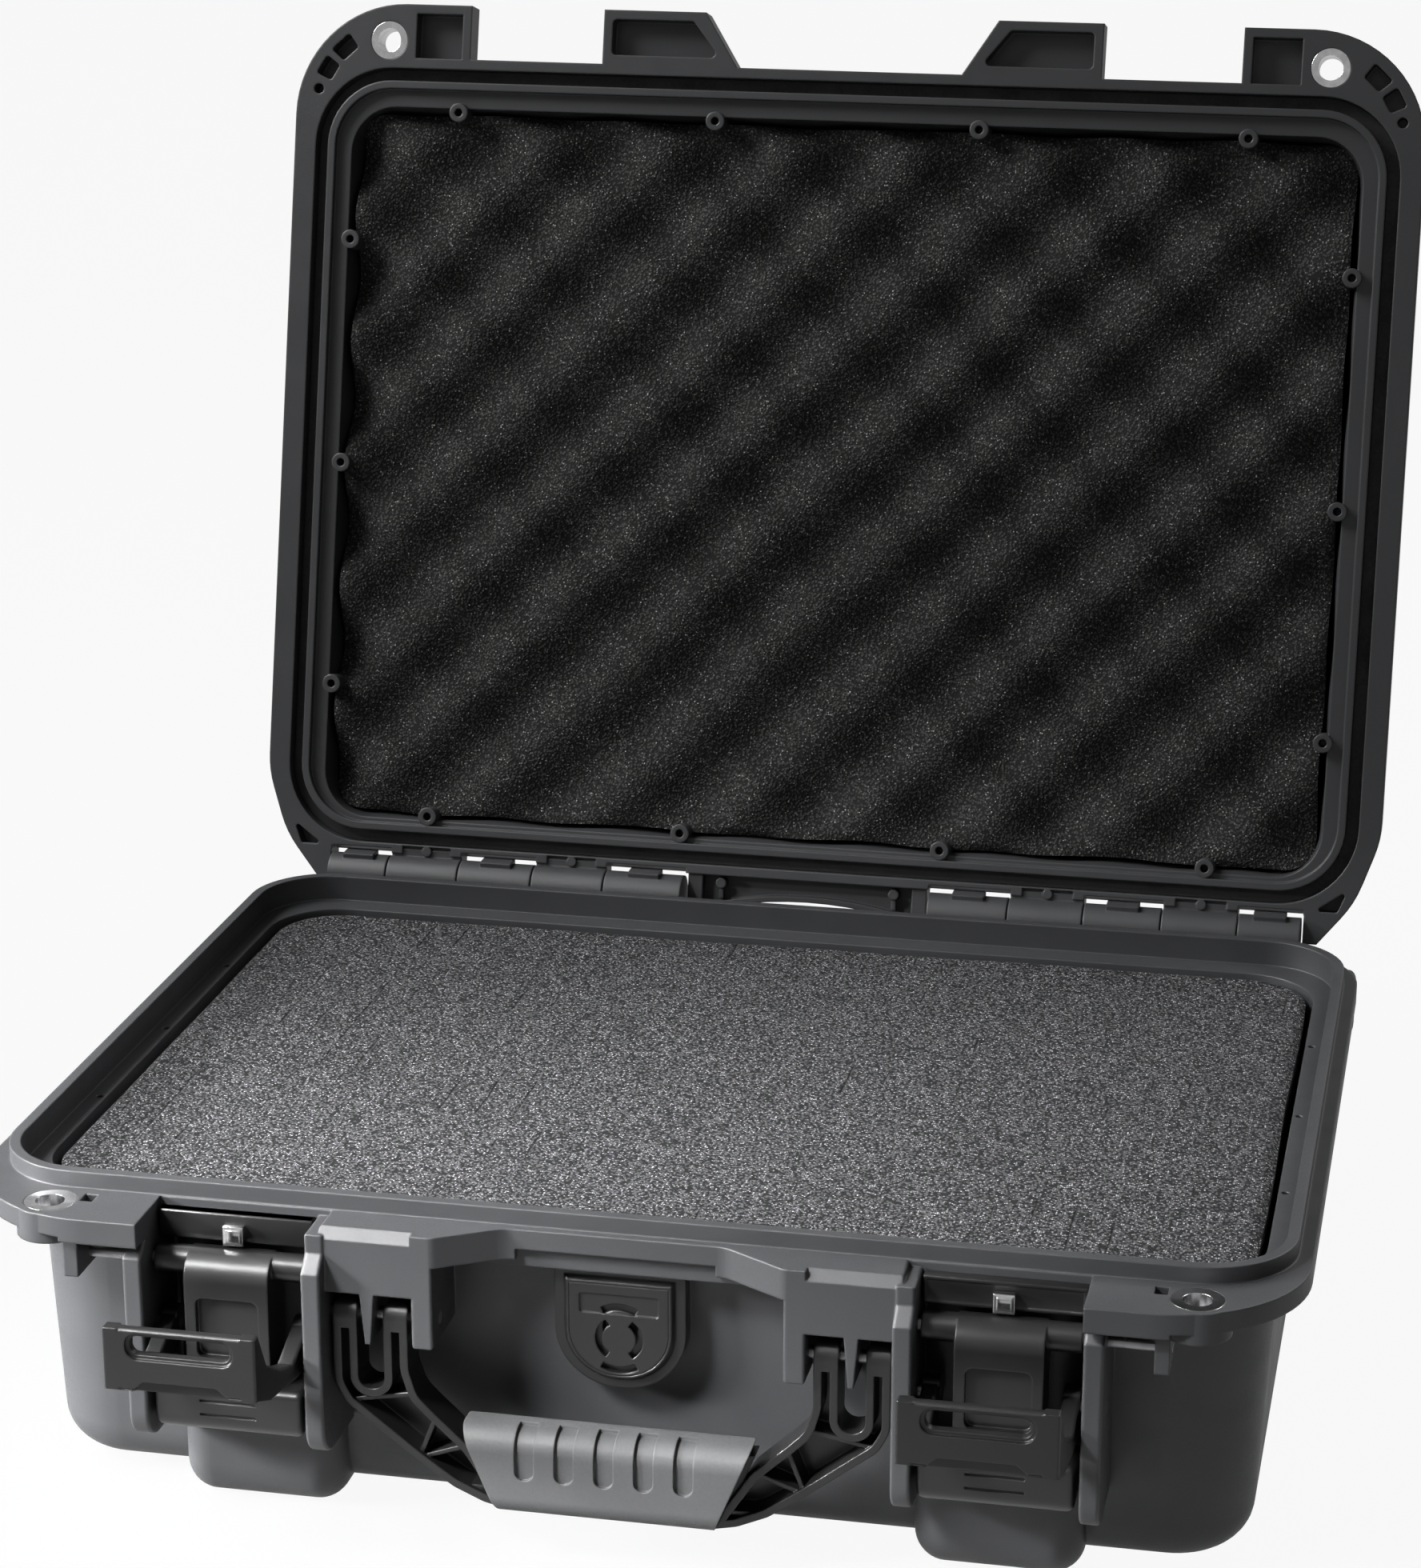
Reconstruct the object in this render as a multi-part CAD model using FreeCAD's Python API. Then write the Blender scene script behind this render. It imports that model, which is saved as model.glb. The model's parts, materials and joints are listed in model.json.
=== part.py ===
import FreeCAD, Part
import math
import os
from collections import namedtuple

# Protective hard case, lid open. Millimetres, +Z up, +X to the right seen from the front.
# The front, with latches and handle, faces -Y. The origin is the middle of the base's underside.

Vector = FreeCAD.Vector
X_AXIS = Vector(1, 0, 0)
Y_AXIS = Vector(0, 1, 0)
Z_AXIS = Vector(0, 0, 1)
CENTRE = Vector(0, 0, 0)

# Overall sizes
case_width = 424.0
case_depth = 338.0
base_height = 106.0
lid_height = 50.0
open_angle = 103.9
overrun = 2.0
fit_clearance = 0.05
running_clearance = 0.06
round_share = 0.95

# Hinge
knuckle_radius = 8.0
hinge_setback = 8.0
hinge_rise = 1.0
hinge_pin_radius = 2.0
hinge_pin_end_inset = 1.0
lid_knuckle_width = 27.5
lid_knuckle_insets = (121.0, 64.0)
knuckle_gap = 0.6
knuckle_room = 0.7
knuckle_pad_width = 12.0
knuckle_pad_depth = 7.0
knuckle_pad_rise = 1.2
pad_room = 2.8
base_knuckle_inner_inset = 165.0
base_knuckle_outer_inset = 27.0
hinge_rib_drop = 26.0
hinge_rib_thickness = 4.0
hinge_window_half = 9.5
hinge_window_front = 12.0
hinge_window_back = 8.6
hinge_window_depth = 1.8
hinge_bump_radius = 1.9

# Apron in the middle of the hinge, on the lid
apron_half = 42.0
apron_reach = 2.5
apron_thickness = 3.5
apron_plate_width = 3.6
apron_plate_gap = 1.5
apron_arch_radius = 151.0
apron_arch_rise = 3.0
apron_lip = 2.2
apron_lip_rise = 2.0
apron_post_inset = 9.0
apron_post_radius = 2.0
apron_post_drop = 6.0
apron_stem_width = 1.8

# Seal line: the loop on which the base's tongue and the lid's groove both lie
seal_side_inset = 10.6
seal_front_inset = 26.2
seal_back_inset = 15.0
seal_radius = 27.0
tongue_wall = 3.6
tongue_height = 5.4
groove_clearance = 0.6
gasket_height = 1.8
gasket_clearance = 0.3
ridge_wall = 2.8

# Base tub
wall = 4.0
floor_thickness = 4.0
body_side_inset = 14.5
body_front_inset = 33.0
body_back_inset = 22.0
body_radius = 30.0
body_draft = 5.0
body_fillet = 14.0
foot_height = 4.0
stack_panel_inset = 62.0
stack_panel_radius = 12.0
scallop_front_inset = 21.4
base_flange_reach = 6.6
base_flange_setback = 1.0
base_flange_radius = 45.0
bay_inset = 24.2
base_flange_thickness = 6.5
corner_lip_depth = 8.0
corner_lip_back = 26.0
base_skirt_reach = 2.4
base_skirt_depth = 13.0
skirt_notch_width = 14.1
boss_radius = 3.5
boss_bore_radius = 1.5
boss_bore_depth = 8.0
boss_overlap = 1.2
front_boss_shares = (-0.70, -0.234, 0.234, 0.70)
side_boss_share = 0.25
ledge_drop = 4.0
ledge_hole_radius = 1.2
ledge_hole_share = 0.19

# Padlock eyelets
eyelet_side_inset = 35.5
eyelet_inset = 13.6
eyelet_bore_radius = 4.5
eyelet_radius = 7.0
eyelet_rim_radius = 8.0
eyelet_rim_height = 0.8
eyelet_boss_radius = 10.5
eyelet_boss_depth = 10.0
bracket_tab_width = 4.5
bracket_tab_gap = 14.6
flange_slot_width = 4.0
flange_slot_depth = 5.5
flange_slot_gap = 9.0
flange_slot_shift = 4.2
bracket_tab_drop = 21.0

# Latches
latch_side_inset = 92.8
latch_bay = 50.6
rail_thickness = 6.1
rail_front_inset = 4.0
rail_length = 75.5
rail_step_drop = 13.0
rail_step_depth = 5.0
rail_ease = 1.0
pillar_half = 22.6
pillar_shift = 1.8
pillar_inner_reach = 7.6
pillar_front_inset = 27.0
pillar_depth = 34.0
pillar_fillet = 13.0
pillar_edge = 10.0
lever_pivot_inset = 16.5
lever_pivot_drop = 17.0
lever_half_width = 13.4
lever_front_reach = 8.2
lever_roll_radius = 8.6
lever_roll_drop = 4.2
lever_drum_radius = 4.5
lever_drum_half = 24.0
lever_end_half = 23.7
lever_length = 54.5
lever_thickness = 14.0
lever_end_height = 17.0
lever_bulge = 2.5
lever_ease = 1.6
lever_window_half = 10.0
lever_window_height = 20.0
lever_window_depth = 2.6
lever_window_drop = 19.0
lever_window_radius = 2.5
lever_end_radius = 9.0
grip_line_half = 9.0
grip_line_width = 0.9
grip_line_depth = 0.7
grip_line_pitch = 4.6
lever_pin_radius = 1.9
claw_pivot_inset = 19.0
claw_pivot_drop = 40.0
claw_half_width = 23.7
claw_web = 5.2
claw_reach = 53.5
claw_plate_thickness = 4.0
claw_plate_top = 22.7
claw_plate_height = 20.0
claw_boss_radius = 6.0
claw_slot_half = 15.5
claw_slot_height = 6.2
claw_slot_drop = 2.4
claw_cut_half = 15.0
claw_cut_depth = 3.2
claw_cut_slope = 3.6
claw_wall = 3.0
claw_ease = 0.8
claw_plate_ease = 1.4
claw_slot_radius = 2.6
claw_slot_bevel = 1.2
claw_pin_radius = 2.0
catch_half = 20.0
catch_depth = 8.0
catch_rise = 2.4
claw_top_shares = ((0.36, -0.025), (0.57, 0.052), (0.80, 0.187))
claw_low_shares = ((0.75, -0.056), (0.26, -0.15))

# Carrying handle
lug_width = 33.7
lug_front_inset = 9.5
lug_block_height = 20.5
lug_leg_width = 6.8
lug_leg_drop = 37.0
lug_tooth_width = 4.4
lug_ease = 1.0
lug_slope = 3.2
lug_tooth_point = 1.6
lug_wing_length = 20.0
lug_wing_height = 10.0
lug_wing_radius = 9.0
handle_pin_inset = 18.0
handle_pin_drop = 30.0
handle_pin_radius = 2.0
handle_pin_bury = 4.0
arm_width = 23.5
arm_thickness = 12.0
arm_head_radius = 6.0
arm_side_gap = 1.3
handle_drop = 60.5
arm_notch_half = 4.2
arm_notch_length = 19.0
prong_radius = 2.6
arm_band = 2.5
arm_pocket_depth = 9.0
arm_rib = 1.4
arm_rib_setback = 1.6
arm_bend = 10.0
arm_rib_ends = ((1, 1), (2, 2), (2, 3), (3, 4))
grip_arm_gap = 17.9991
grip_taper = 11.5983
grip_height = 28.6
grip_rise = 2.0
grip_thickness = 18.0
grip_forward = 5.0
grip_fillet = 7.0
grip_core_margin = 5.0
grip_groove_count = 5
grip_groove_pitch = 12.4
grip_groove_width = 6.0
grip_groove_height = 15.5
grip_groove_depth = 1.1
arm_outer_shares = ((1.0, 0.36), (0.96, 0.47), (0.70, 0.76), (0.57, 0.89), (0.46, 0.96), (0.33, 1.0))
arm_inner_shares = ((0.5492, 0.90), (0.7002, 0.66), (0.865, 0.50), (0.9611, 0.40), (1.0, 0.26))

# Pressure valve
valve_width = 41.0
valve_top_drop = 13.0
valve_centre_drop = 32.5
valve_pad_depth = 1.6
valve_body_depth = 5.4
valve_foot_depth = 1.6
valve_foot_reach = 1.4
valve_bezel = 0.7
valve_margin = 4.9
valve_plate_depth = 1.8
valve_stem_radius = 8.0
valve_bore_radius = 5.5
valve_seal_radius = 11.0
valve_seal_wire = 1.2
valve_membrane_thickness = 0.8
valve_nut_radius = 12.0
valve_nut_depth = 3.4
valve_slot_width = 2.2
valve_side_slot_radius = 10.4
valve_side_slot_turn = 62.0
valve_end_slot_radius = 6.4
valve_end_slot_turn = 112.0
valve_ring_drop = 3.3
valve_label_half = 12.4
valve_label_height = 6.4
valve_label_depth = 0.6
valve_label_rise = 8.2
valve_label_radius = 0.8

# Lid
lid_radius = 42.0
lid_flange_height = 10.0
lid_back_setback = 9.0
lid_corner_start = 38.0
lid_corner_middle = 14.5
lid_corner_inset = 8.0
lid_corner_end_inset = 21.0
lid_corner_back = 1.5
lid_corner_radius = 40.0
lid_corner_gap = 0.8
lid_cavity_side = 21.0
lid_cavity_front = 37.5
lid_cavity_back = 21.5
lid_cavity_radius = 18.0
lid_draft = 5.0
lid_fillet = 12.0
lid_roof = 4.0
lid_wall = 4.0
gap_half = 25.5
gap_inset = 20.0
scallop_land = 12.0
scallop_slope = 14.0
lid_ledge_depth = 3.0
pocket_depth = 6.5
corner_pocket_angles = ((24.0, 36.0), (40.0, 54.0))
corner_pocket_inner = 31.5
corner_pocket_outer = 38.0
corner_pocket_ease = 1.2
corner_hole_angle = 16.0
corner_hole_radius = 1.9
pocket_wall = 3.4
panel_margin = 34.0
panel_radius = 10.0
panel_rise = 1.6

# Foam
foam_clearance = 1.8
foam_top_drop = 5.0
foam_pad_height = 12.0
foam_edge_fillet = 3.0
lid_foam_valley = 19.0
lid_foam_peak = 2.5
crate_pitch = 23.5
crate_ridge_share = 0.62
crate_samples = 4
valve_foam_half = 14.0
valve_foam_depth = 8.0

# Strap brackets at the rear corners
bracket_gap = 1.0
bracket_length = 20.0
bracket_front = 3.0
bracket_back = 7.0
bracket_top_drop = 12.0
bracket_height = 22.0
bracket_fillet = 3.0
bracket_lug = 9.0
strap_pin_radius = 4.5
strap_pin_height = 4.0
strap_pin_inset = 7.0

# Places worked out from the sizes
half_width = case_width / 2
front_y = -case_depth / 2
hinge_y = case_depth / 2 - hinge_setback
parting_z = base_height
hinge_z = parting_z + hinge_rise
floor_z = foot_height + floor_thickness
eyelet_x = half_width - eyelet_side_inset
latch_x = half_width - latch_side_inset
lid_knuckle_places = [half_width - inset for inset in lid_knuckle_insets]
base_knuckle_inner = half_width - base_knuckle_inner_inset
base_knuckle_outer = half_width - base_knuckle_outer_inset
hinge_pin_inner = base_knuckle_inner + hinge_pin_end_inset
hinge_pin_outer = base_knuckle_outer - hinge_pin_end_inset
lid_corner_end = half_width - lid_corner_end_inset
bracket_inner = base_knuckle_outer + bracket_gap
bracket_outer = bracket_inner + bracket_length
strap_pin_place = bracket_inner + strap_pin_inset
lever_pivot = (front_y + lever_pivot_inset, parting_z - lever_pivot_drop)
claw_pivot = (front_y + claw_pivot_inset, parting_z - claw_pivot_drop)
handle_pivot = (front_y + handle_pin_inset, parting_z - handle_pin_drop)
rail_inner = latch_x - latch_bay / 2 - rail_thickness
rail_outer = latch_x + latch_bay / 2 + rail_thickness
rail_front = front_y + rail_front_inset
bracket_tab_x = rail_outer + bracket_tab_gap
lug_inner = rail_inner - lug_width
scallop_half = lug_inner - scallop_land
groove_depth = tongue_height + gasket_clearance + gasket_height
arm_outer = rail_inner - arm_side_gap
arm_inner = arm_outer - arm_width
arm_middle = (arm_outer + arm_inner) / 2
grip_top_half = arm_inner - grip_arm_gap
grip_low_half = grip_top_half - grip_taper

Loop = namedtuple("Loop", "half front back radius")


def grown(loop, reach):
    """A rounded loop moved outwards by one reach on every side."""
    return Loop(loop.half + reach, loop.front - reach, loop.back + reach, loop.radius + reach)


seal_loop = Loop(
    half_width - seal_side_inset,
    front_y + seal_front_inset,
    hinge_y - seal_back_inset,
    seal_radius,
)
body_loop = Loop(
    half_width - body_side_inset,
    front_y + body_front_inset,
    hinge_y - body_back_inset,
    body_radius,
)
cavity_loop = grown(body_loop, -wall)
lid_cavity_loop = Loop(
    half_width - lid_cavity_side,
    front_y + lid_cavity_front,
    hinge_y - lid_cavity_back,
    lid_cavity_radius,
)


def box(x0, x1, y0, y1, z0, z1):
    """A box between two corners."""
    return Part.makeBox(x1 - x0, y1 - y0, z1 - z0, Vector(x0, y0, z0))


def rod_x(x0, x1, place, radius):
    """A cylinder along X, at a place given as y and z."""
    return Part.makeCylinder(radius, x1 - x0, Vector(x0, place[0], place[1]), X_AXIS)


def rod_y(x, z, y0, y1, radius):
    """A cylinder along Y."""
    return Part.makeCylinder(radius, y1 - y0, Vector(x, y0, z), Y_AXIS)


def rod_z(x, y, z0, z1, radius):
    """A cylinder along Z."""
    return Part.makeCylinder(radius, z1 - z0, Vector(x, y, z0), Z_AXIS)


def corner_arc(before, corner, after, radius):
    """The two ends and the middle of the arc that rounds one corner."""
    back = (before - corner).normalize()
    ahead = (after - corner).normalize()
    half_turn = back.getAngle(ahead) / 2
    reach = radius / math.tan(half_turn)
    bisector = (back + ahead).normalize()
    middle = corner + bisector * (radius / math.sin(half_turn) - radius)
    return corner + back * reach, middle, corner + ahead * reach


def rounded_wire(points, radii):
    """A closed wire through points, with each corner rounded by its own radius."""
    edges = []
    ends = []
    count = len(points)
    for index, corner in enumerate(points):
        radius = radii[index]
        if radius:
            ends.append(corner_arc(points[index - 1], corner, points[(index + 1) % count], radius))
        else:
            ends.append((corner, None, corner))
    for index in range(count):
        start, middle, stop = ends[index]
        if middle is not None:
            edges.append(Part.Arc(start, middle, stop).toShape())
        following = ends[(index + 1) % count][0]
        edges.append(Part.LineSegment(stop, following).toShape())
    return Part.Wire(edges)


def same(radius, points):
    """One radius for every corner."""
    return [radius] * len(points)


def prism_x(outline, x0, x1, radii=None):
    """An outline of y and z pairs, extruded along X."""
    points = [Vector(x0, y, z) for y, z in outline]
    wire = rounded_wire(points, radii or same(0, points))
    return Part.Face(wire).extrude(Vector(x1 - x0, 0, 0))


def prism_y(outline, y0, y1, radii=None):
    """An outline of x and z pairs, extruded along Y."""
    points = [Vector(x, y0, z) for x, z in outline]
    wire = rounded_wire(points, radii or same(0, points))
    return Part.Face(wire).extrude(Vector(0, y1 - y0, 0))


def prism_z(outline, z0, z1, radii=None):
    """An outline of x and y pairs, extruded along Z."""
    points = [Vector(x, y, z0) for x, y in outline]
    wire = rounded_wire(points, radii or same(0, points))
    return Part.Face(wire).extrude(Vector(0, 0, z1 - z0))


def loop_wire(loop, z):
    """The rounded rectangle of a loop at one height."""
    points = [
        Vector(-loop.half, loop.front, z),
        Vector(loop.half, loop.front, z),
        Vector(loop.half, loop.back, z),
        Vector(-loop.half, loop.back, z),
    ]
    return rounded_wire(points, same(loop.radius, points))


def loop_prism(loop, z0, z1):
    """A straight prism on a loop."""
    return Part.Face(loop_wire(loop, z0)).extrude(Vector(0, 0, z1 - z0))


def loop_ring(loop, inner, outer, z0, z1):
    """A straight wall between two offsets of a loop."""
    return loop_prism(grown(loop, outer), z0, z1).cut(loop_prism(grown(loop, inner), z0, z1))


def tub(low, low_z, high, high_z):
    """A draughted block between two loops."""
    return Part.makeLoft([loop_wire(low, low_z), loop_wire(high, high_z)], True, True)


def edges_at(shape, z):
    """The edges that lie at one height."""
    return [e for e in shape.Edges if max(abs(v.Z - z) for v in e.Vertexes) < fit_clearance]


def eased(solid, x0, x1, radius):
    """The solid with the edges on its two end faces across X rounded."""
    ends = []
    for edge in solid.Edges:
        xs = [v.X for v in edge.Vertexes]
        if any(max(abs(x - end) for x in xs) < fit_clearance for end in (x0, x1)):
            ends.append(edge)
    return solid.makeFillet(radius, ends)


def mirrored(shape):
    """The left-hand copy of a right-hand shape."""
    return shape.mirror(CENTRE, X_AXIS)


def pair(shape):
    """A right-hand shape and its left-hand copy."""
    return [shape, mirrored(shape)]


def turned_open(shape):
    """The lid's pieces are drawn shut, and turned here to the open stop."""
    turned = shape.copy()
    turned.rotate(Vector(0, hinge_y, hinge_z), X_AXIS, -open_angle)
    return turned


def joined(shapes):
    """One solid from overlapping solids."""
    return shapes[0].multiFuse(shapes[1:]).removeSplitter()


def save(name, shape):
    """Writes one node, and says what it holds."""
    solids = shape.Solids
    kept = solids[0] if len(solids) == 1 else Part.Compound(solids)
    kept.exportStep("parts/" + name + ".step")
    volume = sum(s.Volume for s in solids)
    print(name, len(solids), "solid(s)", round(volume, 1), "mm3", kept.isValid())


# Base shell

def base_tub():
    """Draughted outer body with a rounded bottom edge, not yet hollow, and the stacking panel under it."""
    low = grown(body_loop, -body_draft)
    block = tub(low, foot_height, body_loop, parting_z)
    block = block.makeFillet(body_fillet, edges_at(block, foot_height))
    inset = grown(low, -stack_panel_inset)
    panel = inset._replace(radius=stack_panel_radius)
    return block.fuse(loop_prism(panel, 0, foot_height + overrun))


def base_cavity():
    """The room inside the base."""
    low = grown(cavity_loop, -body_draft)
    block = tub(low, floor_z, cavity_loop, parting_z)
    return block.fuse(loop_prism(cavity_loop, parting_z, parting_z + tongue_height + overrun))


def base_rim():
    """Flange plate, the thicker skirt under it, and the tongue on top."""
    flange_low = parting_z - base_flange_thickness
    side = seal_loop.half + base_flange_reach
    back = seal_loop.back + base_flange_reach
    corner = seal_loop.radius + base_flange_reach
    front = front_y + base_flange_setback
    plate = [(-side, front), (side, front), (side, back), (-side, back)]
    flange = prism_z(plate, flange_low, parting_z, [base_flange_radius, base_flange_radius, corner, corner])
    bay_end = rail_outer - rail_thickness
    bay = box(lug_inner, bay_end, front_y, front_y + bay_inset, flange_low - overrun, parting_z + overrun)
    scallop_y = front_y + scallop_front_inset
    scallop = box(-lug_inner, lug_inner, front_y, scallop_y, flange_low - overrun, parting_z + overrun)
    flange = flange.cut(Part.Compound(pair(bay) + [scallop]))
    lip = prism_z(plate, parting_z - corner_lip_depth, parting_z, [base_flange_radius] * 2 + [corner] * 2)
    lip_z = parting_z - corner_lip_depth
    lip_end = bracket_tab_x + bracket_tab_width
    ends = box(bay_end, lip_end, front_y, front_y + corner_lip_back, lip_z, parting_z)
    lips = [lip.common(end) for end in pair(ends)]
    skirt = loop_prism(grown(seal_loop, base_skirt_reach), parting_z - base_skirt_depth, parting_z)
    notch_low = parting_z - base_skirt_depth - overrun
    notch_x = lug_inner - skirt_notch_width
    notch = box(notch_x, lug_inner, front_y, body_loop.front, notch_low, parting_z - lug_wing_height)
    skirt = skirt.cut(Part.Compound(pair(notch)))
    half_wall = tongue_wall / 2
    tongue = loop_ring(seal_loop, -half_wall, half_wall, parting_z - overrun, parting_z + tongue_height)
    return [flange, skirt, tongue] + lips


def boss_columns(loop, boss_inset, z0, z1, radius):
    """Columns along a loop for the screws of a panel: four along front and back, three on each side."""
    middle_y = (loop.front + loop.back) / 2
    columns = []
    for share in front_boss_shares:
        x = share * half_width
        columns.append(rod_z(x, loop.front + boss_inset, z0, z1, radius))
        columns.append(rod_z(x, loop.back - boss_inset, z0, z1, radius))
    for step in (-1, 0, 1):
        y = middle_y + step * side_boss_share * case_depth
        columns.append(rod_z(loop.half - boss_inset, y, z0, z1, radius))
        columns.append(rod_z(boss_inset - loop.half, y, z0, z1, radius))
    return columns


def ledge_holes():
    """Right-hand pilot holes in the ledge inside the tongue."""
    x = cavity_loop.half + wall / 2
    middle_y = (cavity_loop.front + cavity_loop.back) / 2
    top = parting_z - ledge_drop
    holes = []
    for step in (-1, 0, 1):
        y = middle_y + step * ledge_hole_share * case_depth
        holes.append(rod_z(x, y, top - boss_bore_depth, top + overrun, ledge_hole_radius))
    return holes


def rim_ledge():
    """The step cut down between the room inside and the tongue."""
    inner = grown(seal_loop, -tongue_wall / 2)
    return loop_prism(inner, parting_z - ledge_drop, parting_z + tongue_height + overrun)


def latch_rail(x0, x1):
    """One guard rail: stepped back at the top, rounded at its lower end."""
    back = body_loop.front + wall / 2
    top = parting_z - overrun
    step = parting_z - rail_step_drop
    low = parting_z - rail_length
    setback = rail_front + rail_step_depth
    outline = [
        (back, low),
        (rail_front, low),
        (rail_front, step),
        (setback, step + rail_step_depth),
        (setback, top),
        (back, top),
    ]
    rail = prism_x(outline, x0, x1, [0, rail_step_depth * 2, rail_ease, rail_ease, 0, 0])
    return eased(rail, x0, x1, rail_ease)


def latch_mounting():
    """Rails, the pillar that carries them down to the floor, and the foot behind it."""
    inner = latch_x - latch_bay / 2
    outer = latch_x + latch_bay / 2
    rails = [latch_rail(rail_inner, inner), latch_rail(outer, rail_outer)]
    pillar_x = latch_x + pillar_shift
    pillar_front = front_y + pillar_front_inset
    pillar = box(
        pillar_x - pillar_half - pillar_inner_reach,
        pillar_x + pillar_half,
        pillar_front,
        pillar_front + pillar_depth,
        0,
        parting_z - overrun,
    )
    front_edges = [
        e for e in pillar.Edges if max(abs(v.Y - pillar_front) for v in e.Vertexes) < fit_clearance
    ]
    low_edges = [e for e in front_edges if max(v.Z for v in e.Vertexes) < fit_clearance]
    pillar = pillar.makeFillet(pillar_fillet, low_edges)
    upright_edges = [
        e
        for e in pillar.Edges
        if max(abs(v.Y - pillar_front) for v in e.Vertexes) < fit_clearance
        and max(v.Z for v in e.Vertexes) - min(v.Z for v in e.Vertexes) > pillar_fillet
    ]
    pillar = pillar.makeFillet(pillar_edge, upright_edges)
    foot_back = hinge_y - body_back_inset - body_draft
    rear_foot = box(
        pillar_x - pillar_half,
        pillar_x + pillar_half,
        foot_back - pillar_depth,
        foot_back,
        0,
        foot_height + body_fillet,
    )
    return rails + [pillar, rear_foot]


def eyelet_bracket():
    """The padlock boss under the corner, and the tab that takes the outer end of the lever's pin."""
    block_front = front_y + base_flange_setback
    eyelet_y = front_y + eyelet_inset
    boss = rod_z(eyelet_x, eyelet_y, parting_z - eyelet_boss_depth, parting_z, eyelet_boss_radius)
    tab = box(
        bracket_tab_x,
        bracket_tab_x + bracket_tab_width,
        block_front + rail_front_inset,
        body_loop.front + wall / 2,
        parting_z - bracket_tab_drop,
        parting_z - overrun,
    )
    return [boss, tab]


def handle_lug():
    """The block between scallop and latch, with a leg and a tooth on either side of the handle's prongs."""
    front = front_y + lug_front_inset
    back = body_loop.front + wall / 2
    block = box(lug_inner, rail_inner + overrun, front, back, parting_z - lug_block_height, parting_z)
    leg = box(lug_inner, lug_inner + lug_leg_width, front, back, parting_z - lug_leg_drop, parting_z)
    block = eased(block, lug_inner, rail_inner + overrun, lug_ease)
    leg = eased(leg, lug_inner, lug_inner + lug_leg_width, lug_ease)
    slope = [(front, parting_z), (front, parting_z - lug_slope), (front + lug_slope, parting_z)]
    slope = prism_x(slope, lug_inner - overrun, rail_inner + overrun * 2)
    block = block.cut(slope)
    leg = leg.cut(slope)
    tooth_outline = [
        (arm_middle - lug_tooth_point / 2, parting_z - lug_leg_drop),
        (arm_middle + lug_tooth_point / 2, parting_z - lug_leg_drop),
        (arm_middle + lug_tooth_width / 2, parting_z - lug_block_height),
        (arm_middle + lug_tooth_width / 2, parting_z - lug_slope * 2),
        (arm_middle - lug_tooth_width / 2, parting_z - lug_slope * 2),
        (arm_middle - lug_tooth_width / 2, parting_z - lug_block_height),
    ]
    tooth = prism_y(tooth_outline, front, back)
    scallop_y = front_y + scallop_front_inset
    wing_end = lug_inner - lug_wing_length - lug_wing_radius / 3
    wing_outline = [
        (lug_inner + lug_leg_width, front),
        (lug_inner, front),
        (lug_inner - lug_wing_length, scallop_y),
        (wing_end, scallop_y),
        (wing_end, back),
        (lug_inner + lug_leg_width, back),
    ]
    wing = prism_z(
        wing_outline,
        parting_z - lug_wing_height,
        parting_z,
        [0, lug_wing_radius / 2, lug_wing_radius, 0, 0, 0],
    )
    return [block, leg, tooth, wing]


def base_knuckle_spans():
    """The x spans on the base's side of the hinge, between the lid's knuckles."""
    edges = [base_knuckle_inner]
    for place in lid_knuckle_places:
        edges.append(place - lid_knuckle_width / 2 - knuckle_gap)
        edges.append(place + lid_knuckle_width / 2 + knuckle_gap)
    edges.append(base_knuckle_outer)
    return list(zip(edges[0::2], edges[1::2]))


def base_knuckles():
    """Right-hand knuckles of the base, each with an arm to the rim and two ribs down the back wall."""
    pieces = []
    wall_back = body_loop.back - wall / 2
    arm_low = hinge_z - knuckle_radius
    rib_outline = [(wall_back, arm_low), (hinge_y, arm_low), (wall_back, arm_low - hinge_rib_drop)]
    for x0, x1 in base_knuckle_spans():
        pieces.append(rod_x(x0, x1, (hinge_y, hinge_z), knuckle_radius))
        pieces.append(box(x0, x1, wall_back, hinge_y, arm_low, parting_z))
        middle = (x0 + x1) / 2
        pieces.append(
            box(
                middle - knuckle_pad_width / 2,
                middle + knuckle_pad_width / 2,
                hinge_y - knuckle_pad_depth / 2,
                hinge_y + knuckle_pad_depth / 2,
                hinge_z,
                hinge_z + knuckle_radius + knuckle_pad_rise,
            )
        )
        for rib_x in (x0, x1 - hinge_rib_thickness):
            pieces.append(prism_x(rib_outline, rib_x, rib_x + hinge_rib_thickness))
    bracket_low = parting_z - bracket_top_drop - bracket_height
    lug = box(
        base_knuckle_outer - bracket_lug,
        bracket_inner,
        wall_back - wall,
        hinge_y + bracket_back,
        bracket_low,
        parting_z - bracket_top_drop,
    )
    post_inner = base_knuckle_outer - bracket_lug
    post = box(post_inner, base_knuckle_outer, wall_back, hinge_y, bracket_low, arm_low + wall)
    return pieces + [lug, post]


def lid_knuckle_rooms():
    """Room in the base's rim round the lid's knuckles."""
    rooms = []
    for place in lid_knuckle_places:
        half = lid_knuckle_width / 2 + knuckle_gap
        rooms.append(rod_x(place - half, place + half, (hinge_y, hinge_z), knuckle_radius + knuckle_room))
    return rooms


def valve_outline(margin):
    """The valve's D shape as x and z pairs with radii, inside a margin."""
    half = valve_width / 2 - margin
    top = parting_z - valve_top_drop - margin
    low = parting_z - valve_centre_drop - half
    outline = [(-half, top), (-half, low), (half, low), (half, top)]
    softened = half * round_share
    return outline, [0, softened, softened, 0]


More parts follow.
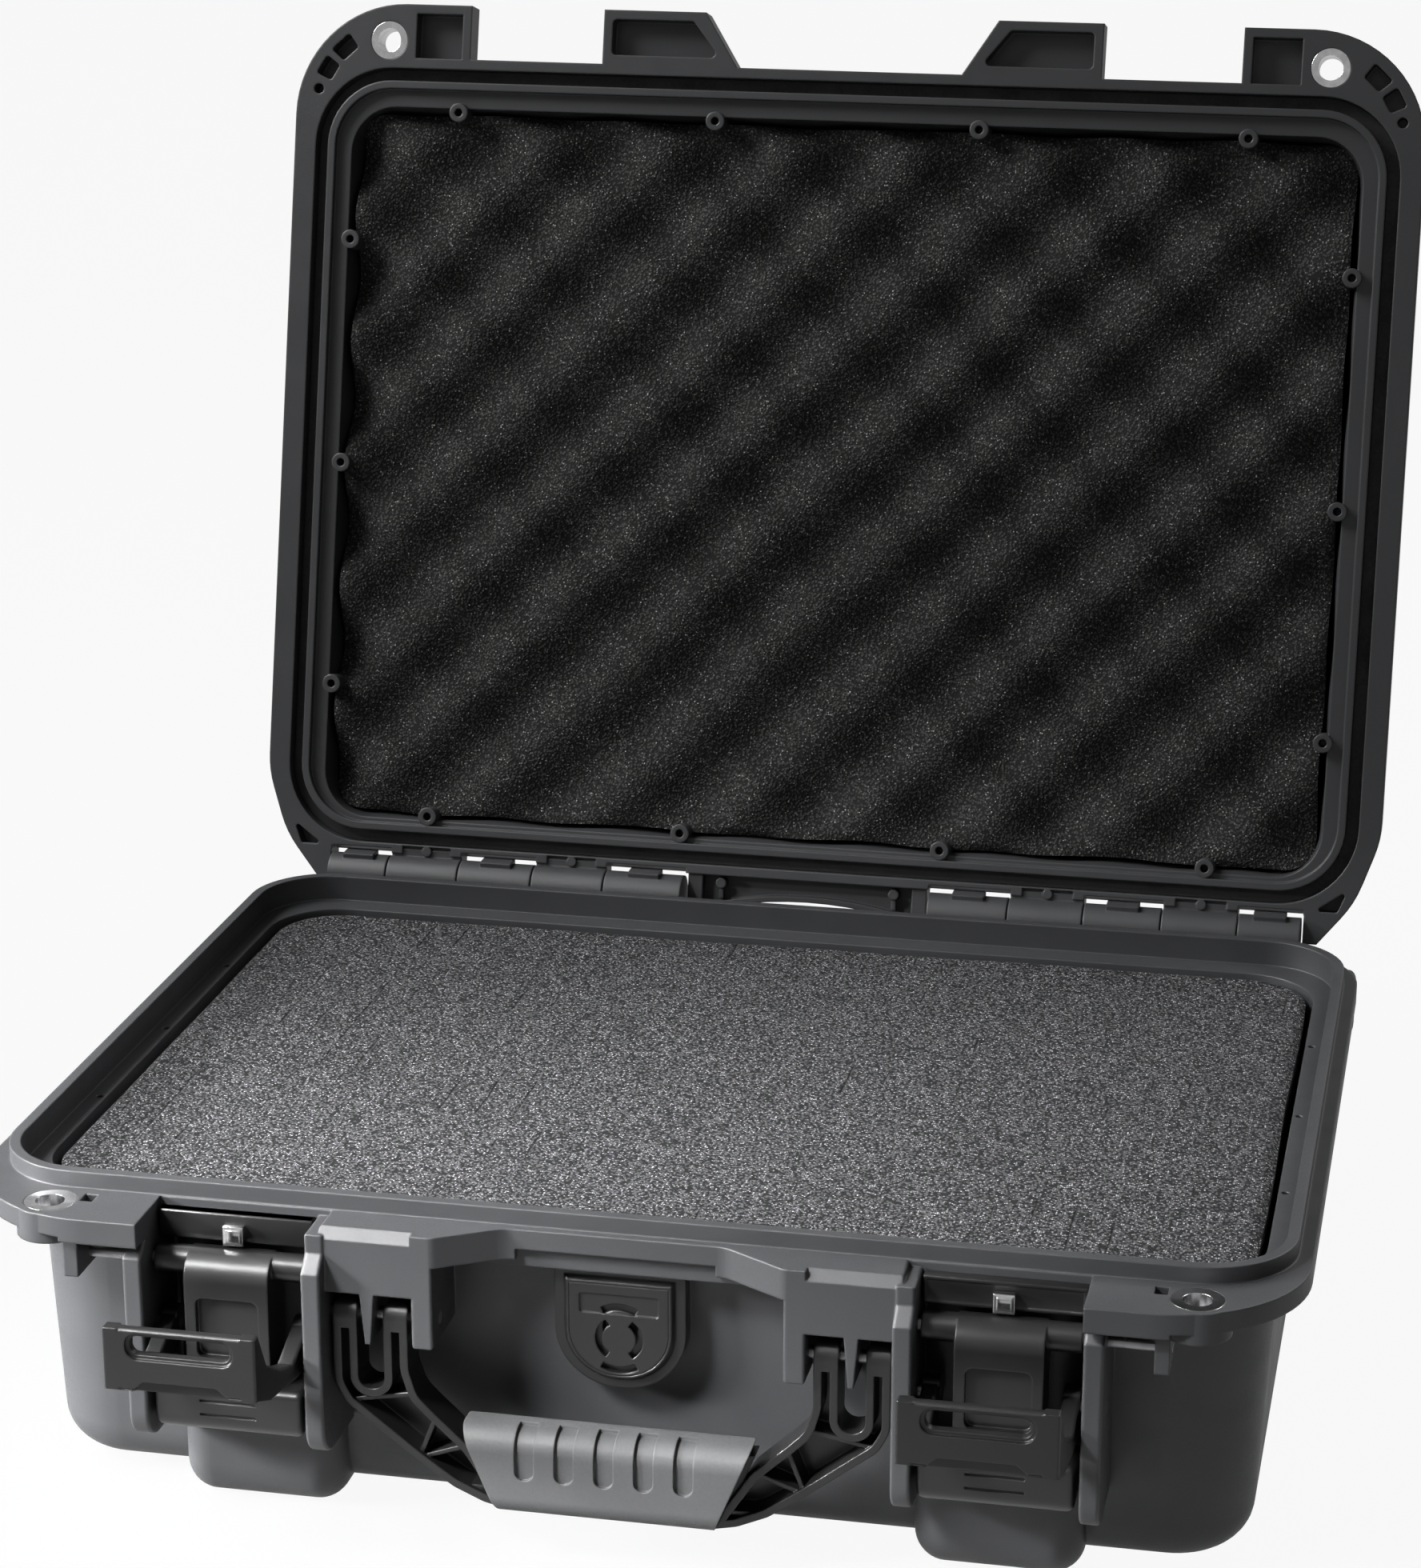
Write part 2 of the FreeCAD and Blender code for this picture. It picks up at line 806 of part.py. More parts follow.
def valve_seat():
    """A flat pad on the draughted front wall for the valve."""
    outline, radii = valve_outline(0)
    pad_front = body_loop.front - valve_pad_depth
    return prism_y(outline, pad_front, body_loop.front + wall, radii)


def base_shell():
    """The whole lower moulding."""
    hollow = base_cavity()
    adds = [base_tub()] + base_rim()
    for build in (latch_mounting, eyelet_bracket, handle_lug, base_knuckles):
        for piece in build():
            adds += pair(piece)
    adds.append(valve_seat())
    shell = joined(adds)
    shell = shell.cut(hollow)
    holes = [rim_ledge()]
    for hole in ledge_holes():
        holes += pair(hole)
    holes += pair(flange_slot())
    eyelet_y = front_y + eyelet_inset
    holes += pair(rod_z(eyelet_x, eyelet_y, 0, parting_z + overrun, eyelet_radius + fit_clearance))
    holes += pair(eyelet_seat())
    reach = half_width
    lever_hole = rod_x(rail_inner, reach, lever_pivot, lever_pin_radius + fit_clearance)
    claw_hole = rod_x(rail_inner, rail_outer, claw_pivot, claw_pin_radius + fit_clearance)
    handle_hole = rod_x(
        lug_inner - overrun,
        rail_inner + handle_pin_bury,
        handle_pivot,
        handle_pin_radius + fit_clearance,
    )
    hinge_hole = rod_x(hinge_pin_inner, hinge_pin_outer, (hinge_y, hinge_z), hinge_pin_radius + fit_clearance)
    for hole in (lever_hole, claw_hole, handle_hole, hinge_hole):
        holes += pair(hole)
    for room in lid_knuckle_rooms():
        holes += pair(room)
    holes.append(valve_hole())
    return shell.cut(Part.Compound(holes))


def flange_slot():
    """The small slot in the flange beside a padlock boss."""
    x1 = eyelet_x - flange_slot_gap
    y0 = front_y + eyelet_inset + flange_slot_shift - flange_slot_depth / 2
    return box(
        x1 - flange_slot_width,
        x1,
        y0,
        y0 + flange_slot_depth,
        parting_z - base_flange_thickness - overrun,
        parting_z + overrun,
    )


def eyelet_seat():
    """The countersink under the rim of an eyelet insert in the base."""
    top = parting_z + overrun
    seat = parting_z - eyelet_rim_height - fit_clearance
    return rod_z(eyelet_x, front_y + eyelet_inset, seat, top, eyelet_rim_radius + fit_clearance)


def valve_hole():
    """The round hole through the front wall for the valve's stem."""
    return rod_y(
        0,
        parting_z - valve_centre_drop,
        body_loop.front - valve_pad_depth - overrun,
        cavity_loop.front + body_draft + overrun,
        valve_stem_radius + fit_clearance,
    )


# Lid shell, drawn shut

def lid_outline():
    """The lid's flange seen from above: the rear corners reach back past the ends of the hinge."""
    back = hinge_y - lid_back_setback
    corner_back = hinge_y + lid_corner_back
    side = hinge_y - lid_corner_start
    inner = base_knuckle_outer + lid_corner_gap
    outline = [(half_width, front_y), (half_width, side)]
    outline.append((half_width - lid_corner_inset, hinge_y - lid_corner_middle))
    outline.append((lid_corner_end, corner_back))
    outline += [(inner, corner_back), (inner, back)]
    radii = [lid_radius, lid_corner_radius, lid_corner_radius, 0, 0, 0]
    left = [(-x, y) for x, y in reversed(outline)]
    return outline + left, radii + radii[::-1]


def lid_flange():
    """The flange plate."""
    outline, radii = lid_outline()
    return [prism_z(outline, parting_z, parting_z + lid_flange_height, radii)]


def lid_body():
    """Draughted upper part with a rounded top edge and a raised panel."""
    low = grown(lid_cavity_loop, lid_wall)
    top_z = parting_z + lid_height - panel_rise
    block = tub(low, parting_z, grown(low, -lid_draft), top_z)
    block = block.makeFillet(lid_fillet, edges_at(block, top_z))
    inset = grown(low, -panel_margin)
    panel = inset._replace(radius=panel_radius)
    return [block, loop_prism(panel, top_z - overrun, top_z + panel_rise)]


def lid_cavity():
    """The room inside the lid."""
    roof = parting_z + lid_height - panel_rise - lid_roof
    return tub(lid_cavity_loop, parting_z - overrun, grown(lid_cavity_loop, -lid_draft), roof)


def latch_gap():
    """The gap in the lid's flange where a claw passes."""
    return box(
        latch_x - gap_half,
        latch_x + gap_half,
        front_y - overrun,
        front_y + gap_inset,
        parting_z - overrun,
        parting_z + lid_height,
    )


def lid_catch():
    """The raised ledge that a claw hooks over."""
    return box(
        latch_x - catch_half,
        latch_x + catch_half,
        front_y + gap_inset,
        front_y + gap_inset + catch_depth,
        parting_z + lid_flange_height - overrun,
        parting_z + lid_flange_height + catch_rise,
    )


def lid_scallop():
    """The cut in the middle of the front edge, over the valve, with sloped sides."""
    outline = [
        (-scallop_half - scallop_slope, front_y - overrun),
        (scallop_half + scallop_slope, front_y - overrun),
        (scallop_half, front_y + gap_inset),
        (-scallop_half, front_y + gap_inset),
    ]
    return prism_z(outline, parting_z - overrun, parting_z + lid_height)


def lid_pockets():
    """Right-hand lightening pockets in the flange's underside."""
    z0 = parting_z - overrun
    z1 = parting_z + pocket_depth
    inset_y = front_y + gap_inset
    gap_outer = latch_x + gap_half
    gap_inner = latch_x - gap_half
    block_end = eyelet_x - eyelet_boss_radius
    block = box(gap_outer + pocket_wall, block_end, front_y + pocket_wall, inset_y, z0, z1)
    scallop_end = scallop_half + scallop_slope
    tab_outline = [
        (scallop_end + pocket_wall, front_y + pocket_wall),
        (gap_inner - pocket_wall, front_y + pocket_wall),
        (gap_inner - pocket_wall, inset_y - pocket_wall),
        (scallop_half + pocket_wall * 2, inset_y - pocket_wall),
    ]
    tab = prism_z(tab_outline, z0, z1, same(pocket_wall / 2, tab_outline))
    back = hinge_y - lid_back_setback
    rear_outline = [
        (lid_corner_end - pocket_wall / 2, back - pocket_wall / 2),
        (lid_corner_end + pocket_wall * 2, back - pocket_wall / 2),
        (lid_corner_end + pocket_wall * 3, back - pocket_wall * 3),
    ]
    rear = prism_z(rear_outline, z0, z1, same(pocket_wall / 4, rear_outline))
    corner_x = half_width - lid_radius
    corner_y = front_y + lid_radius
    pockets = [block, tab, rear]
    for first, last in corner_pocket_angles:
        outline = []
        for radius, angles in ((corner_pocket_inner, (first, last)), (corner_pocket_outer, (last, first))):
            for angle in angles:
                turn = math.radians(angle)
                outline.append((corner_x + radius * math.cos(turn), corner_y - radius * math.sin(turn)))
        pockets.append(prism_z(outline, z0, z1, same(corner_pocket_ease, outline)))
    turn = math.radians(corner_hole_angle)
    hole_reach = (corner_pocket_inner + corner_pocket_outer) / 2
    hole_x = corner_x + hole_reach * math.cos(turn)
    hole_y = corner_y - hole_reach * math.sin(turn)
    pockets.append(rod_z(hole_x, hole_y, z0, z1, corner_hole_radius))
    return pockets


def lid_knuckles():
    """Right-hand knuckles of the lid, each with an arm to the flange."""
    pieces = []
    for place in lid_knuckle_places:
        x0 = place - lid_knuckle_width / 2
        x1 = place + lid_knuckle_width / 2
        pieces.append(rod_x(x0, x1, (hinge_y, hinge_z), knuckle_radius))
        arm_front = hinge_y - lid_back_setback - overrun
        pieces.append(box(x0, x1, arm_front, hinge_y, hinge_z, hinge_z + knuckle_radius))
    return pieces


def hinge_windows():
    """Right-hand shallow windows in the lid's rear flange, above its knuckles."""
    windows = []
    for place in lid_knuckle_places:
        windows.append(
            box(
                place - hinge_window_half,
                place + hinge_window_half,
                hinge_y - hinge_window_front,
                hinge_y - hinge_window_back,
                parting_z - overrun,
                parting_z + hinge_window_depth,
            )
        )
    return windows


def hinge_bumps():
    """Right-hand round bumps, one in each window."""
    y = hinge_y - (hinge_window_front + hinge_window_back) / 2
    top = parting_z + hinge_window_depth + overrun
    return [rod_z(place, y, parting_z, top, hinge_bump_radius) for place in lid_knuckle_places]


def lid_apron():
    """The arched panel between the two hinges, with its end plates and posts."""
    back = hinge_y - lid_back_setback - overrun
    end = hinge_y + apron_reach
    top = parting_z + lid_flange_height
    low = top - apron_thickness
    lip_low = low - apron_lip_rise
    arch_y = end - apron_arch_rise + apron_arch_radius
    panel = box(-apron_half, apron_half, back, end, low, top)
    band = rod_z(0, arch_y, lip_low, top, apron_arch_radius + apron_lip)
    band = band.common(box(-apron_half, apron_half, back, end, lip_low, top))
    arch = rod_z(0, arch_y, lip_low - overrun, top + overrun, apron_arch_radius)
    pieces = [panel.fuse(band).cut(arch)]
    plate_low = parting_z + apron_plate_gap
    post_x = apron_half - apron_post_inset
    post_y = hinge_y - apron_post_drop
    half_stem = apron_stem_width / 2
    plate = box(apron_half - overrun, apron_half + apron_plate_width, back, end, plate_low, top)
    head = rod_z(post_x, post_y, plate_low, top, apron_post_radius)
    stem = box(post_x - half_stem, post_x + half_stem, post_y, hinge_y, plate_low + apron_plate_gap, top)
    for piece in (plate, head, stem):
        pieces += pair(piece)
    return pieces


def base_knuckle_rooms():
    """Room in the lid round the base's knuckles."""
    rooms = []
    for x0, x1 in base_knuckle_spans():
        x0 -= knuckle_gap
        x1 += knuckle_gap
        rooms.append(rod_x(x0, x1, (hinge_y, hinge_z), knuckle_radius + pad_room))
    return rooms


def lid_shell():
    """The whole upper moulding, shut."""
    adds = lid_flange() + lid_body()
    shell = joined(adds)
    cuts = pair(latch_gap()) + [lid_scallop(), lid_cavity()]
    half_groove = tongue_wall / 2 + groove_clearance
    groove_top = parting_z + groove_depth
    cuts.append(loop_ring(seal_loop, -half_groove, half_groove, parting_z - overrun, groove_top))
    for pocket in lid_pockets():
        cuts += pair(pocket)
    ledge = grown(seal_loop, -half_groove - ridge_wall)
    cuts.append(loop_prism(ledge, parting_z - overrun, parting_z + lid_ledge_depth))
    for window in hinge_windows():
        cuts += pair(window)
    shell = shell.cut(Part.Compound(cuts))
    adds = pair(lid_catch()) + lid_apron()
    for bump in hinge_bumps():
        adds += pair(bump)
    for piece in lid_knuckles():
        adds += pair(piece)
    roof = parting_z + lid_height - panel_rise - lid_roof
    adds += boss_columns(lid_cavity_loop, boss_radius - boss_overlap, parting_z, roof, boss_radius)
    shell = joined([shell] + adds)
    holes = boss_columns(
        lid_cavity_loop,
        boss_radius - boss_overlap,
        parting_z - overrun,
        parting_z + boss_bore_depth,
        boss_bore_radius,
    )
    eyelet_y = front_y + eyelet_inset
    eyelet_top = parting_z + lid_flange_height
    bore_radius = eyelet_radius + fit_clearance
    holes += pair(rod_z(eyelet_x, eyelet_y, parting_z - overrun, eyelet_top + overrun, bore_radius))
    rim_low = eyelet_top - eyelet_rim_height - fit_clearance
    seat_radius = eyelet_rim_radius + fit_clearance
    holes += pair(rod_z(eyelet_x, eyelet_y, rim_low, eyelet_top + overrun, seat_radius))
    hinge_hole = rod_x(
        hinge_pin_inner,
        hinge_pin_outer,
        (hinge_y, hinge_z),
        hinge_pin_radius + running_clearance,
    )
    holes += pair(hinge_hole)
    for room in base_knuckle_rooms():
        holes += pair(room)
    return shell.cut(Part.Compound(holes))


def lid_gasket():
    """The endless seal on the floor of the lid's groove."""
    half_groove = tongue_wall / 2 + groove_clearance - fit_clearance
    z1 = parting_z + groove_depth
    return loop_ring(seal_loop, -half_groove, half_groove, z1 - gasket_height, z1)


# Eyelets, hinge pins and other small parts

def base_eyelet():
    """Right-hand metal insert in the base, its rim sunk flush."""
    y = front_y + eyelet_inset
    tube = rod_z(eyelet_x, y, parting_z - eyelet_boss_depth, parting_z, eyelet_radius)
    rim = rod_z(eyelet_x, y, parting_z - eyelet_rim_height, parting_z, eyelet_rim_radius)
    bore = rod_z(eyelet_x, y, 0, parting_z + overrun, eyelet_bore_radius)
    return tube.fuse(rim).cut(bore)


def lid_eyelet():
    """Right-hand metal insert in the lid, shut, its rim on the upper side."""
    y = front_y + eyelet_inset
    top = parting_z + lid_flange_height
    tube = rod_z(eyelet_x, y, parting_z, top, eyelet_radius)
    rim = rod_z(eyelet_x, y, top - eyelet_rim_height, top, eyelet_rim_radius)
    bore = rod_z(eyelet_x, y, 0, top + overrun, eyelet_bore_radius)
    return tube.fuse(rim).cut(bore)


def hinge_pin():
    """Right-hand hinge pin."""
    return rod_x(hinge_pin_inner, hinge_pin_outer, (hinge_y, hinge_z), hinge_pin_radius)


def strap_bracket():
    """Right-hand strap bracket: a bar with rounded outer corners beside the outer hinge lug."""
    top = parting_z - bracket_top_drop
    block = box(
        bracket_inner,
        bracket_outer,
        hinge_y - bracket_front,
        hinge_y + bracket_back,
        top - bracket_height,
        top,
    )
    outer_edges = [
        e for e in block.Edges if min(v.X for v in e.Vertexes) > bracket_outer - fit_clearance
    ]
    return block.makeFillet(bracket_fillet, outer_edges)


def strap_pin():
    """Right-hand metal stud on the bracket's top."""
    top = parting_z - bracket_top_drop
    middle_y = hinge_y + (bracket_back - bracket_front) / 2
    return rod_z(strap_pin_place, middle_y, top, top + strap_pin_height, strap_pin_radius)


# Latches

def at_latch(half):
    """The x span of a piece centred on the right-hand latch."""
    return latch_x - half, latch_x + half


def lever_end_outline():
    """The wide lower end of a lever, from its front shoulder round to its back."""
    y, z = lever_pivot
    front = y - lever_front_reach - lever_bulge
    back = y - lever_front_reach + lever_thickness
    low = z - lever_length
    top = low + lever_end_height
    return [(front, top), (front, low), (back, low), (back, top)]


def latch_lever():
    """Right-hand lever: a roll with two drums, narrow block, wide end with two grip lines."""
    y, z = lever_pivot
    front = y - lever_front_reach
    back = front + lever_thickness
    low = z - lever_length
    shoulder = low + lever_end_height
    roll_z = z - lever_roll_drop
    roll = rod_x(*at_latch(lever_half_width), (front + lever_roll_radius, roll_z), lever_roll_radius)
    drums = rod_x(*at_latch(lever_drum_half), lever_pivot, lever_drum_radius)
    stem_low = shoulder - lever_bulge
    stem_outline = [(front, roll_z), (front, stem_low), (back, stem_low), (back, roll_z)]
    stem = prism_x(stem_outline, *at_latch(lever_half_width))
    end_radius = lever_thickness / 2
    end = prism_x(
        lever_end_outline(),
        *at_latch(lever_end_half),
        [lever_bulge, end_radius, end_radius / 2, lever_ease],
    )
    end = eased(end, *at_latch(lever_end_half), lever_ease)
    x0, x1 = at_latch(lever_end_half + overrun)
    end_outline = [(x0, low), (x1, low), (x1, z), (x0, z)]
    rounding = prism_y(
        end_outline,
        front - lever_thickness,
        back + lever_thickness,
        [lever_end_radius, lever_end_radius, 0, 0],
    )
    lever = joined([roll, drums, stem, end.common(rounding)])
    window_top = z - lever_window_drop + lever_window_height / 2
    window_low = window_top - lever_window_height
    a, b = at_latch(lever_window_half)
    window_outline = [(a, window_low), (b, window_low), (b, window_top), (a, window_top)]
    window = prism_y(
        window_outline,
        front - overrun,
        front + lever_window_depth,
        same(lever_window_radius, window_outline),
    )
    bore_radius = lever_pin_radius + running_clearance
    cuts = [window, rod_x(*at_latch(lever_drum_half + overrun), lever_pivot, bore_radius)]
    line_z = shoulder - grip_line_pitch
    end_front = front - lever_bulge
    for index in range(2):
        z1 = line_z - index * grip_line_pitch
        z0 = z1 - grip_line_width
        line_back = end_front + grip_line_depth
        cuts.append(box(*at_latch(grip_line_half), end_front - overrun, line_back, z0, z1))
    return lever.cut(Part.Compound(cuts))


def claw_points(shares):
    """Outline points of the claw's arm, from shares of its reach."""
    y, z = claw_pivot
    return [(y - along * claw_reach, z + up * claw_reach) for along, up in shares]


def latch_claw():
    """Right-hand claw, open: two arms, the hook plate with its slot, and the wall that shows when shut."""
    y, z = claw_pivot
    outer = y - claw_reach
    inner = outer + claw_plate_thickness
    top = z + claw_plate_top
    low = top - claw_plate_height
    arm_outline = [(y, z + claw_boss_radius)] + claw_points(claw_top_shares)
    arm_outline += [(inner, top), (outer, top), (outer, low)] + claw_points(claw_low_shares)
    arm_outline.append((y, z - claw_boss_radius))
    x0, x1 = at_latch(claw_half_width)
    bodies = []
    for a, b in ((x0, x0 + claw_web), (x1 - claw_web, x1)):
        bodies.append(eased(prism_x(arm_outline, a, b), a, b, claw_ease))
        bodies.append(rod_x(a, b, claw_pivot, claw_boss_radius))
    plate = box(x0, x1, outer, inner, low, top)
    plate = plate.makeFillet(claw_plate_ease, plate.Edges)
    wall_end = claw_points(claw_low_shares[:1])[0]
    wall_outline = [
        (outer, low),
        wall_end,
        (wall_end[0] + claw_wall / 2, wall_end[1] + claw_wall),
        (inner, low + claw_wall),
    ]
    front_wall = prism_x(wall_outline, x0, x1)
    claw = joined(bodies + [plate, front_wall])
    slot_top = top - claw_slot_drop
    slot_low = slot_top - claw_slot_height
    slots = []
    for margin, depth in ((0, claw_plate_thickness + overrun), (claw_slot_bevel, claw_slot_bevel)):
        a, b = at_latch(claw_slot_half + margin)
        z0 = slot_low - margin
        z1 = slot_top + margin
        slot_outline = [(a, z0), (b, z0), (b, z1), (a, z1)]
        radius = claw_slot_radius + margin
        slots.append(prism_y(slot_outline, outer - overrun, outer + depth, same(radius, slot_outline)))
    cut_outline = [
        (latch_x - claw_cut_half, low - claw_reach),
        (latch_x + claw_cut_half, low - claw_reach),
        (latch_x + claw_cut_half, low),
        (latch_x + claw_cut_half - claw_cut_slope, low + claw_cut_depth),
        (latch_x - claw_cut_half + claw_cut_slope, low + claw_cut_depth),
        (latch_x - claw_cut_half, low),
    ]
    finger_cut = prism_y(cut_outline, outer - overrun, inner)
    bores = rod_x(x0 - overrun, x1 + overrun, claw_pivot, claw_pin_radius + running_clearance)
    for tool in slots + [finger_cut, bores]:
        claw = claw.cut(tool)
    return claw


def lever_pin():
    """Right-hand lever pin, from the inner rail to the bracket's tab."""
    return rod_x(rail_inner, bracket_tab_x + bracket_tab_width, lever_pivot, lever_pin_radius)


def claw_pins():
    """Two stub pins, one through each rail into the claw's arms."""
    bay_inner, bay_outer = at_latch(latch_bay / 2)
    bury = latch_bay / 2 - claw_half_width + claw_web
    inner_pin = rod_x(rail_inner, bay_inner + bury, claw_pivot, claw_pin_radius)
    outer_pin = rod_x(bay_outer - bury, rail_outer, claw_pivot, claw_pin_radius)
    return Part.Compound([inner_pin, outer_pin])


# Handle

def handle_points(edge, shares):
    """Points of a right-hand arm: x as a share of an edge's place, z as a share of the drop from the pin."""
    return [(edge * across, handle_pivot[1] - handle_drop * down) for across, down in shares]


def arm_face():
    """The right-hand arm seen from the front: two prongs round the lug's tooth, then the slanted blade."""
    y, z = handle_pivot
    top = z + arm_head_radius
    notch_low = z - arm_notch_length - arm_notch_half
    inner_notch = arm_middle - arm_notch_half
    outer_notch = arm_middle + arm_notch_half
    outline = [
        (arm_inner, top),
        (inner_notch, top),
        (inner_notch, notch_low),
        (outer_notch, notch_low),
        (outer_notch, top),
        (arm_outer, top),
    ]
    turn = arm_notch_half * round_share
    radii = [prong_radius, prong_radius, turn, turn, prong_radius, prong_radius]
    outline += handle_points(arm_outer, arm_outer_shares) + handle_points(arm_inner, arm_inner_shares)
    radii += [arm_bend] * (len(arm_outer_shares) - 1) + [0, 0] + [arm_bend] * (len(arm_inner_shares) - 1)
    points = [Vector(x, y - arm_thickness / 2, height) for x, height in outline]
    return Part.Face(rounded_wire(points, radii))


def arm_pocket(face):
    """The deep pocket inside an arm's raised band, below the pin."""
    y, z = handle_pivot
    front = y - arm_thickness / 2
    inside = face.makeOffset2D(-arm_band)
    pocket = inside.extrude(Vector(0, arm_pocket_depth, 0))
    low = z - handle_drop
    top = z - handle_pin_radius - arm_rib
    return pocket.common(box(0, arm_outer, front, front + arm_pocket_depth, low, top))


def arm_ribs():
    """Thin ribs across the slanted part of the pocket, set back from its front."""
    y = handle_pivot[0]
    front = y - arm_thickness / 2 + arm_rib_setback
    outer_edge = handle_points(arm_outer, arm_outer_shares)
    inner_edge = handle_points(arm_inner, reversed(arm_inner_shares))
    ribs = []
    for outer_end, inner_end in arm_rib_ends:
        x0, z0 = outer_edge[outer_end]
        x1, z1 = inner_edge[inner_end]
        length = math.hypot(x1 - x0, z1 - z0)
        across_x = (z1 - z0) / length * arm_rib / 2
        across_z = (x0 - x1) / length * arm_rib / 2
        outline = [
            (x0 - across_x, z0 - across_z),
            (x1 - across_x, z1 - across_z),
            (x1 + across_x, z1 + across_z),
            (x0 + across_x, z0 + across_z),
        ]
        ribs.append(prism_y(outline, front, y + arm_thickness / 2))
    return ribs


def handle_arm():
    """Right-hand arm: a raised band round a ribbed pocket, rounded over the pin."""
    y, z = handle_pivot
    y0 = y - arm_thickness / 2
    y1 = y + arm_thickness / 2
    face = arm_face()
    blade = face.extrude(Vector(0, arm_thickness, 0))
    rounding = box(0, arm_outer, y0, y1, z - handle_drop, z)
    rounding = rounding.fuse(rod_x(0, arm_outer, handle_pivot, arm_head_radius))
    blade = blade.common(rounding)
    arm = blade.cut(arm_pocket(face))
    ribs = [rib.common(blade) for rib in arm_ribs()]
    arm = joined([arm] + ribs)
    bore_radius = handle_pin_radius + running_clearance
    return arm.cut(rod_x(lug_inner, arm_outer + overrun, handle_pivot, bore_radius))


def grip_outline(margin):
    """The grip's tapered outline as x and z pairs, with its top and bottom moved in by a margin."""
    low = handle_pivot[1] - handle_drop + grip_rise
    top = low + grip_height
    slant = grip_taper * margin / grip_height
    return [
        (slant - grip_top_half, top - margin),
        (grip_top_half - slant, top - margin),
        (grip_low_half + slant, low + margin),
        (-grip_low_half - slant, low + margin),
    ]


def handle_core(clearance):
    """The bar inside the grip that joins the two arms."""
    y = handle_pivot[0]
    half = arm_thickness / 2 - grip_core_margin / 2 + clearance
    outline = [
        (x + math.copysign(overrun, x), z) for x, z in grip_outline(grip_core_margin - clearance)
    ]
    return prism_y(outline, y - half, y + half)


def grip_block(margin):
    """The grip's rounded bar, or the one inside it at a margin from its front, top and bottom."""
    y = handle_pivot[0] - grip_forward
    half = grip_thickness / 2 - margin
    block = prism_y(grip_outline(margin), y - half, y + half)
    long_edges = [e for e in block.Edges if abs(e.Vertexes[0].Y - e.Vertexes[1].Y) < fit_clearance]
    long_edges = [e for e in long_edges if abs(e.Vertexes[0].Z - e.Vertexes[1].Z) < fit_clearance]
    return block.makeFillet(grip_fillet - margin, long_edges)


def handle_frame():
    """Both arms and the core bar."""
    arms = []
    y = handle_pivot[0]
    room = prism_y(grip_outline(-overrun - grip_rise), y - grip_thickness, y + grip_thickness)
    for arm in pair(handle_arm()):
        arms.append(arm.cut(room))
    return joined(arms + [handle_core(0)])


def handle_grip():
    """The grip moulded round the core, with finger grooves that run over its upper front edge."""
    y = handle_pivot[0] - grip_forward
    block = grip_block(0)
    top = handle_pivot[1] - handle_drop + grip_rise + grip_height
    front = y - grip_thickness / 2
    cuts = [handle_core(fit_clearance)]
    inside = grip_block(grip_groove_depth)
    span = (grip_groove_count - 1) / 2
    softened = grip_groove_width / 2 * round_share
    for index in range(grip_groove_count):
        x = (index - span) * grip_groove_pitch
        outline = [
            (x - grip_groove_width / 2, top - grip_groove_height),
            (x + grip_groove_width / 2, top - grip_groove_height),
            (x + grip_groove_width / 2, top + overrun),
            (x - grip_groove_width / 2, top + overrun),
        ]
        groove = prism_y(outline, front - overrun, y, [softened, softened, 0, 0])
        cuts.append(groove.cut(inside))
    return block.cut(Part.Compound(cuts))


def handle_pin():
    """Right-hand pin of the handle, from the lug's leg into the rail."""
    return rod_x(lug_inner, rail_inner + handle_pin_bury, handle_pivot, handle_pin_radius)


# Pressure valve

valve_seat_y = body_loop.front - valve_pad_depth
valve_z = parting_z - valve_centre_drop
valve_inner_y = cavity_loop.front + body_draft


def flared_d(back_margin, back_y, front_margin, front_y):
    """A block that narrows from one D shape at the back to another at the front."""
    wires = []
    for margin, y in ((back_margin, back_y), (front_margin, front_y)):
        outline, radii = valve_outline(margin)
        wires.append(rounded_wire([Vector(x, y, z) for x, z in outline], radii))
    return Part.makeLoft(wires, True, True)


def valve_body():
    """D-shaped housing on the pad, with a hollow stem through the wall."""
    outline, radii = valve_outline(0)
    front = valve_seat_y - valve_body_depth
    step = valve_seat_y - valve_foot_depth
    foot = prism_y(outline, step - overrun, valve_seat_y, radii)
    housing = flared_d(valve_foot_reach, step, valve_margin - valve_bezel, front)
    stem = rod_y(0, valve_z, valve_seat_y - overrun, valve_inner_y + valve_nut_depth, valve_stem_radius)
    body = joined([foot, housing, stem])
    face, face_radii = valve_outline(valve_margin)
    recess = prism_y(face, front - overrun, front + valve_plate_depth, face_radii)
    bore = rod_y(0, valve_z, front - overrun, valve_inner_y + valve_nut_depth + overrun, valve_bore_radius)
    seal_groove = Part.makeTorus(valve_seal_radius, valve_seal_wire, Vector(0, valve_seat_y, valve_z), Y_AXIS)
    return body.cut(Part.Compound([recess, bore, seal_groove]))


def valve_seal():
    """The ring seal behind the housing, pressed flat where it meets the pad."""
    ring = Part.makeTorus(
        valve_seal_radius,
        valve_seal_wire - fit_clearance,
        Vector(0, valve_seat_y, valve_z),
        Y_AXIS,
    )
    reach = valve_seal_radius + valve_seal_wire
    front_half = box(-reach, reach, valve_seat_y - reach, valve_seat_y, valve_z - reach, valve_z + reach)
    return ring.common(front_half)


def valve_membrane():
    """The breathing membrane inside the stem."""
    return rod_y(0, valve_z, valve_seat_y, valve_seat_y + valve_membrane_thickness, valve_bore_radius)


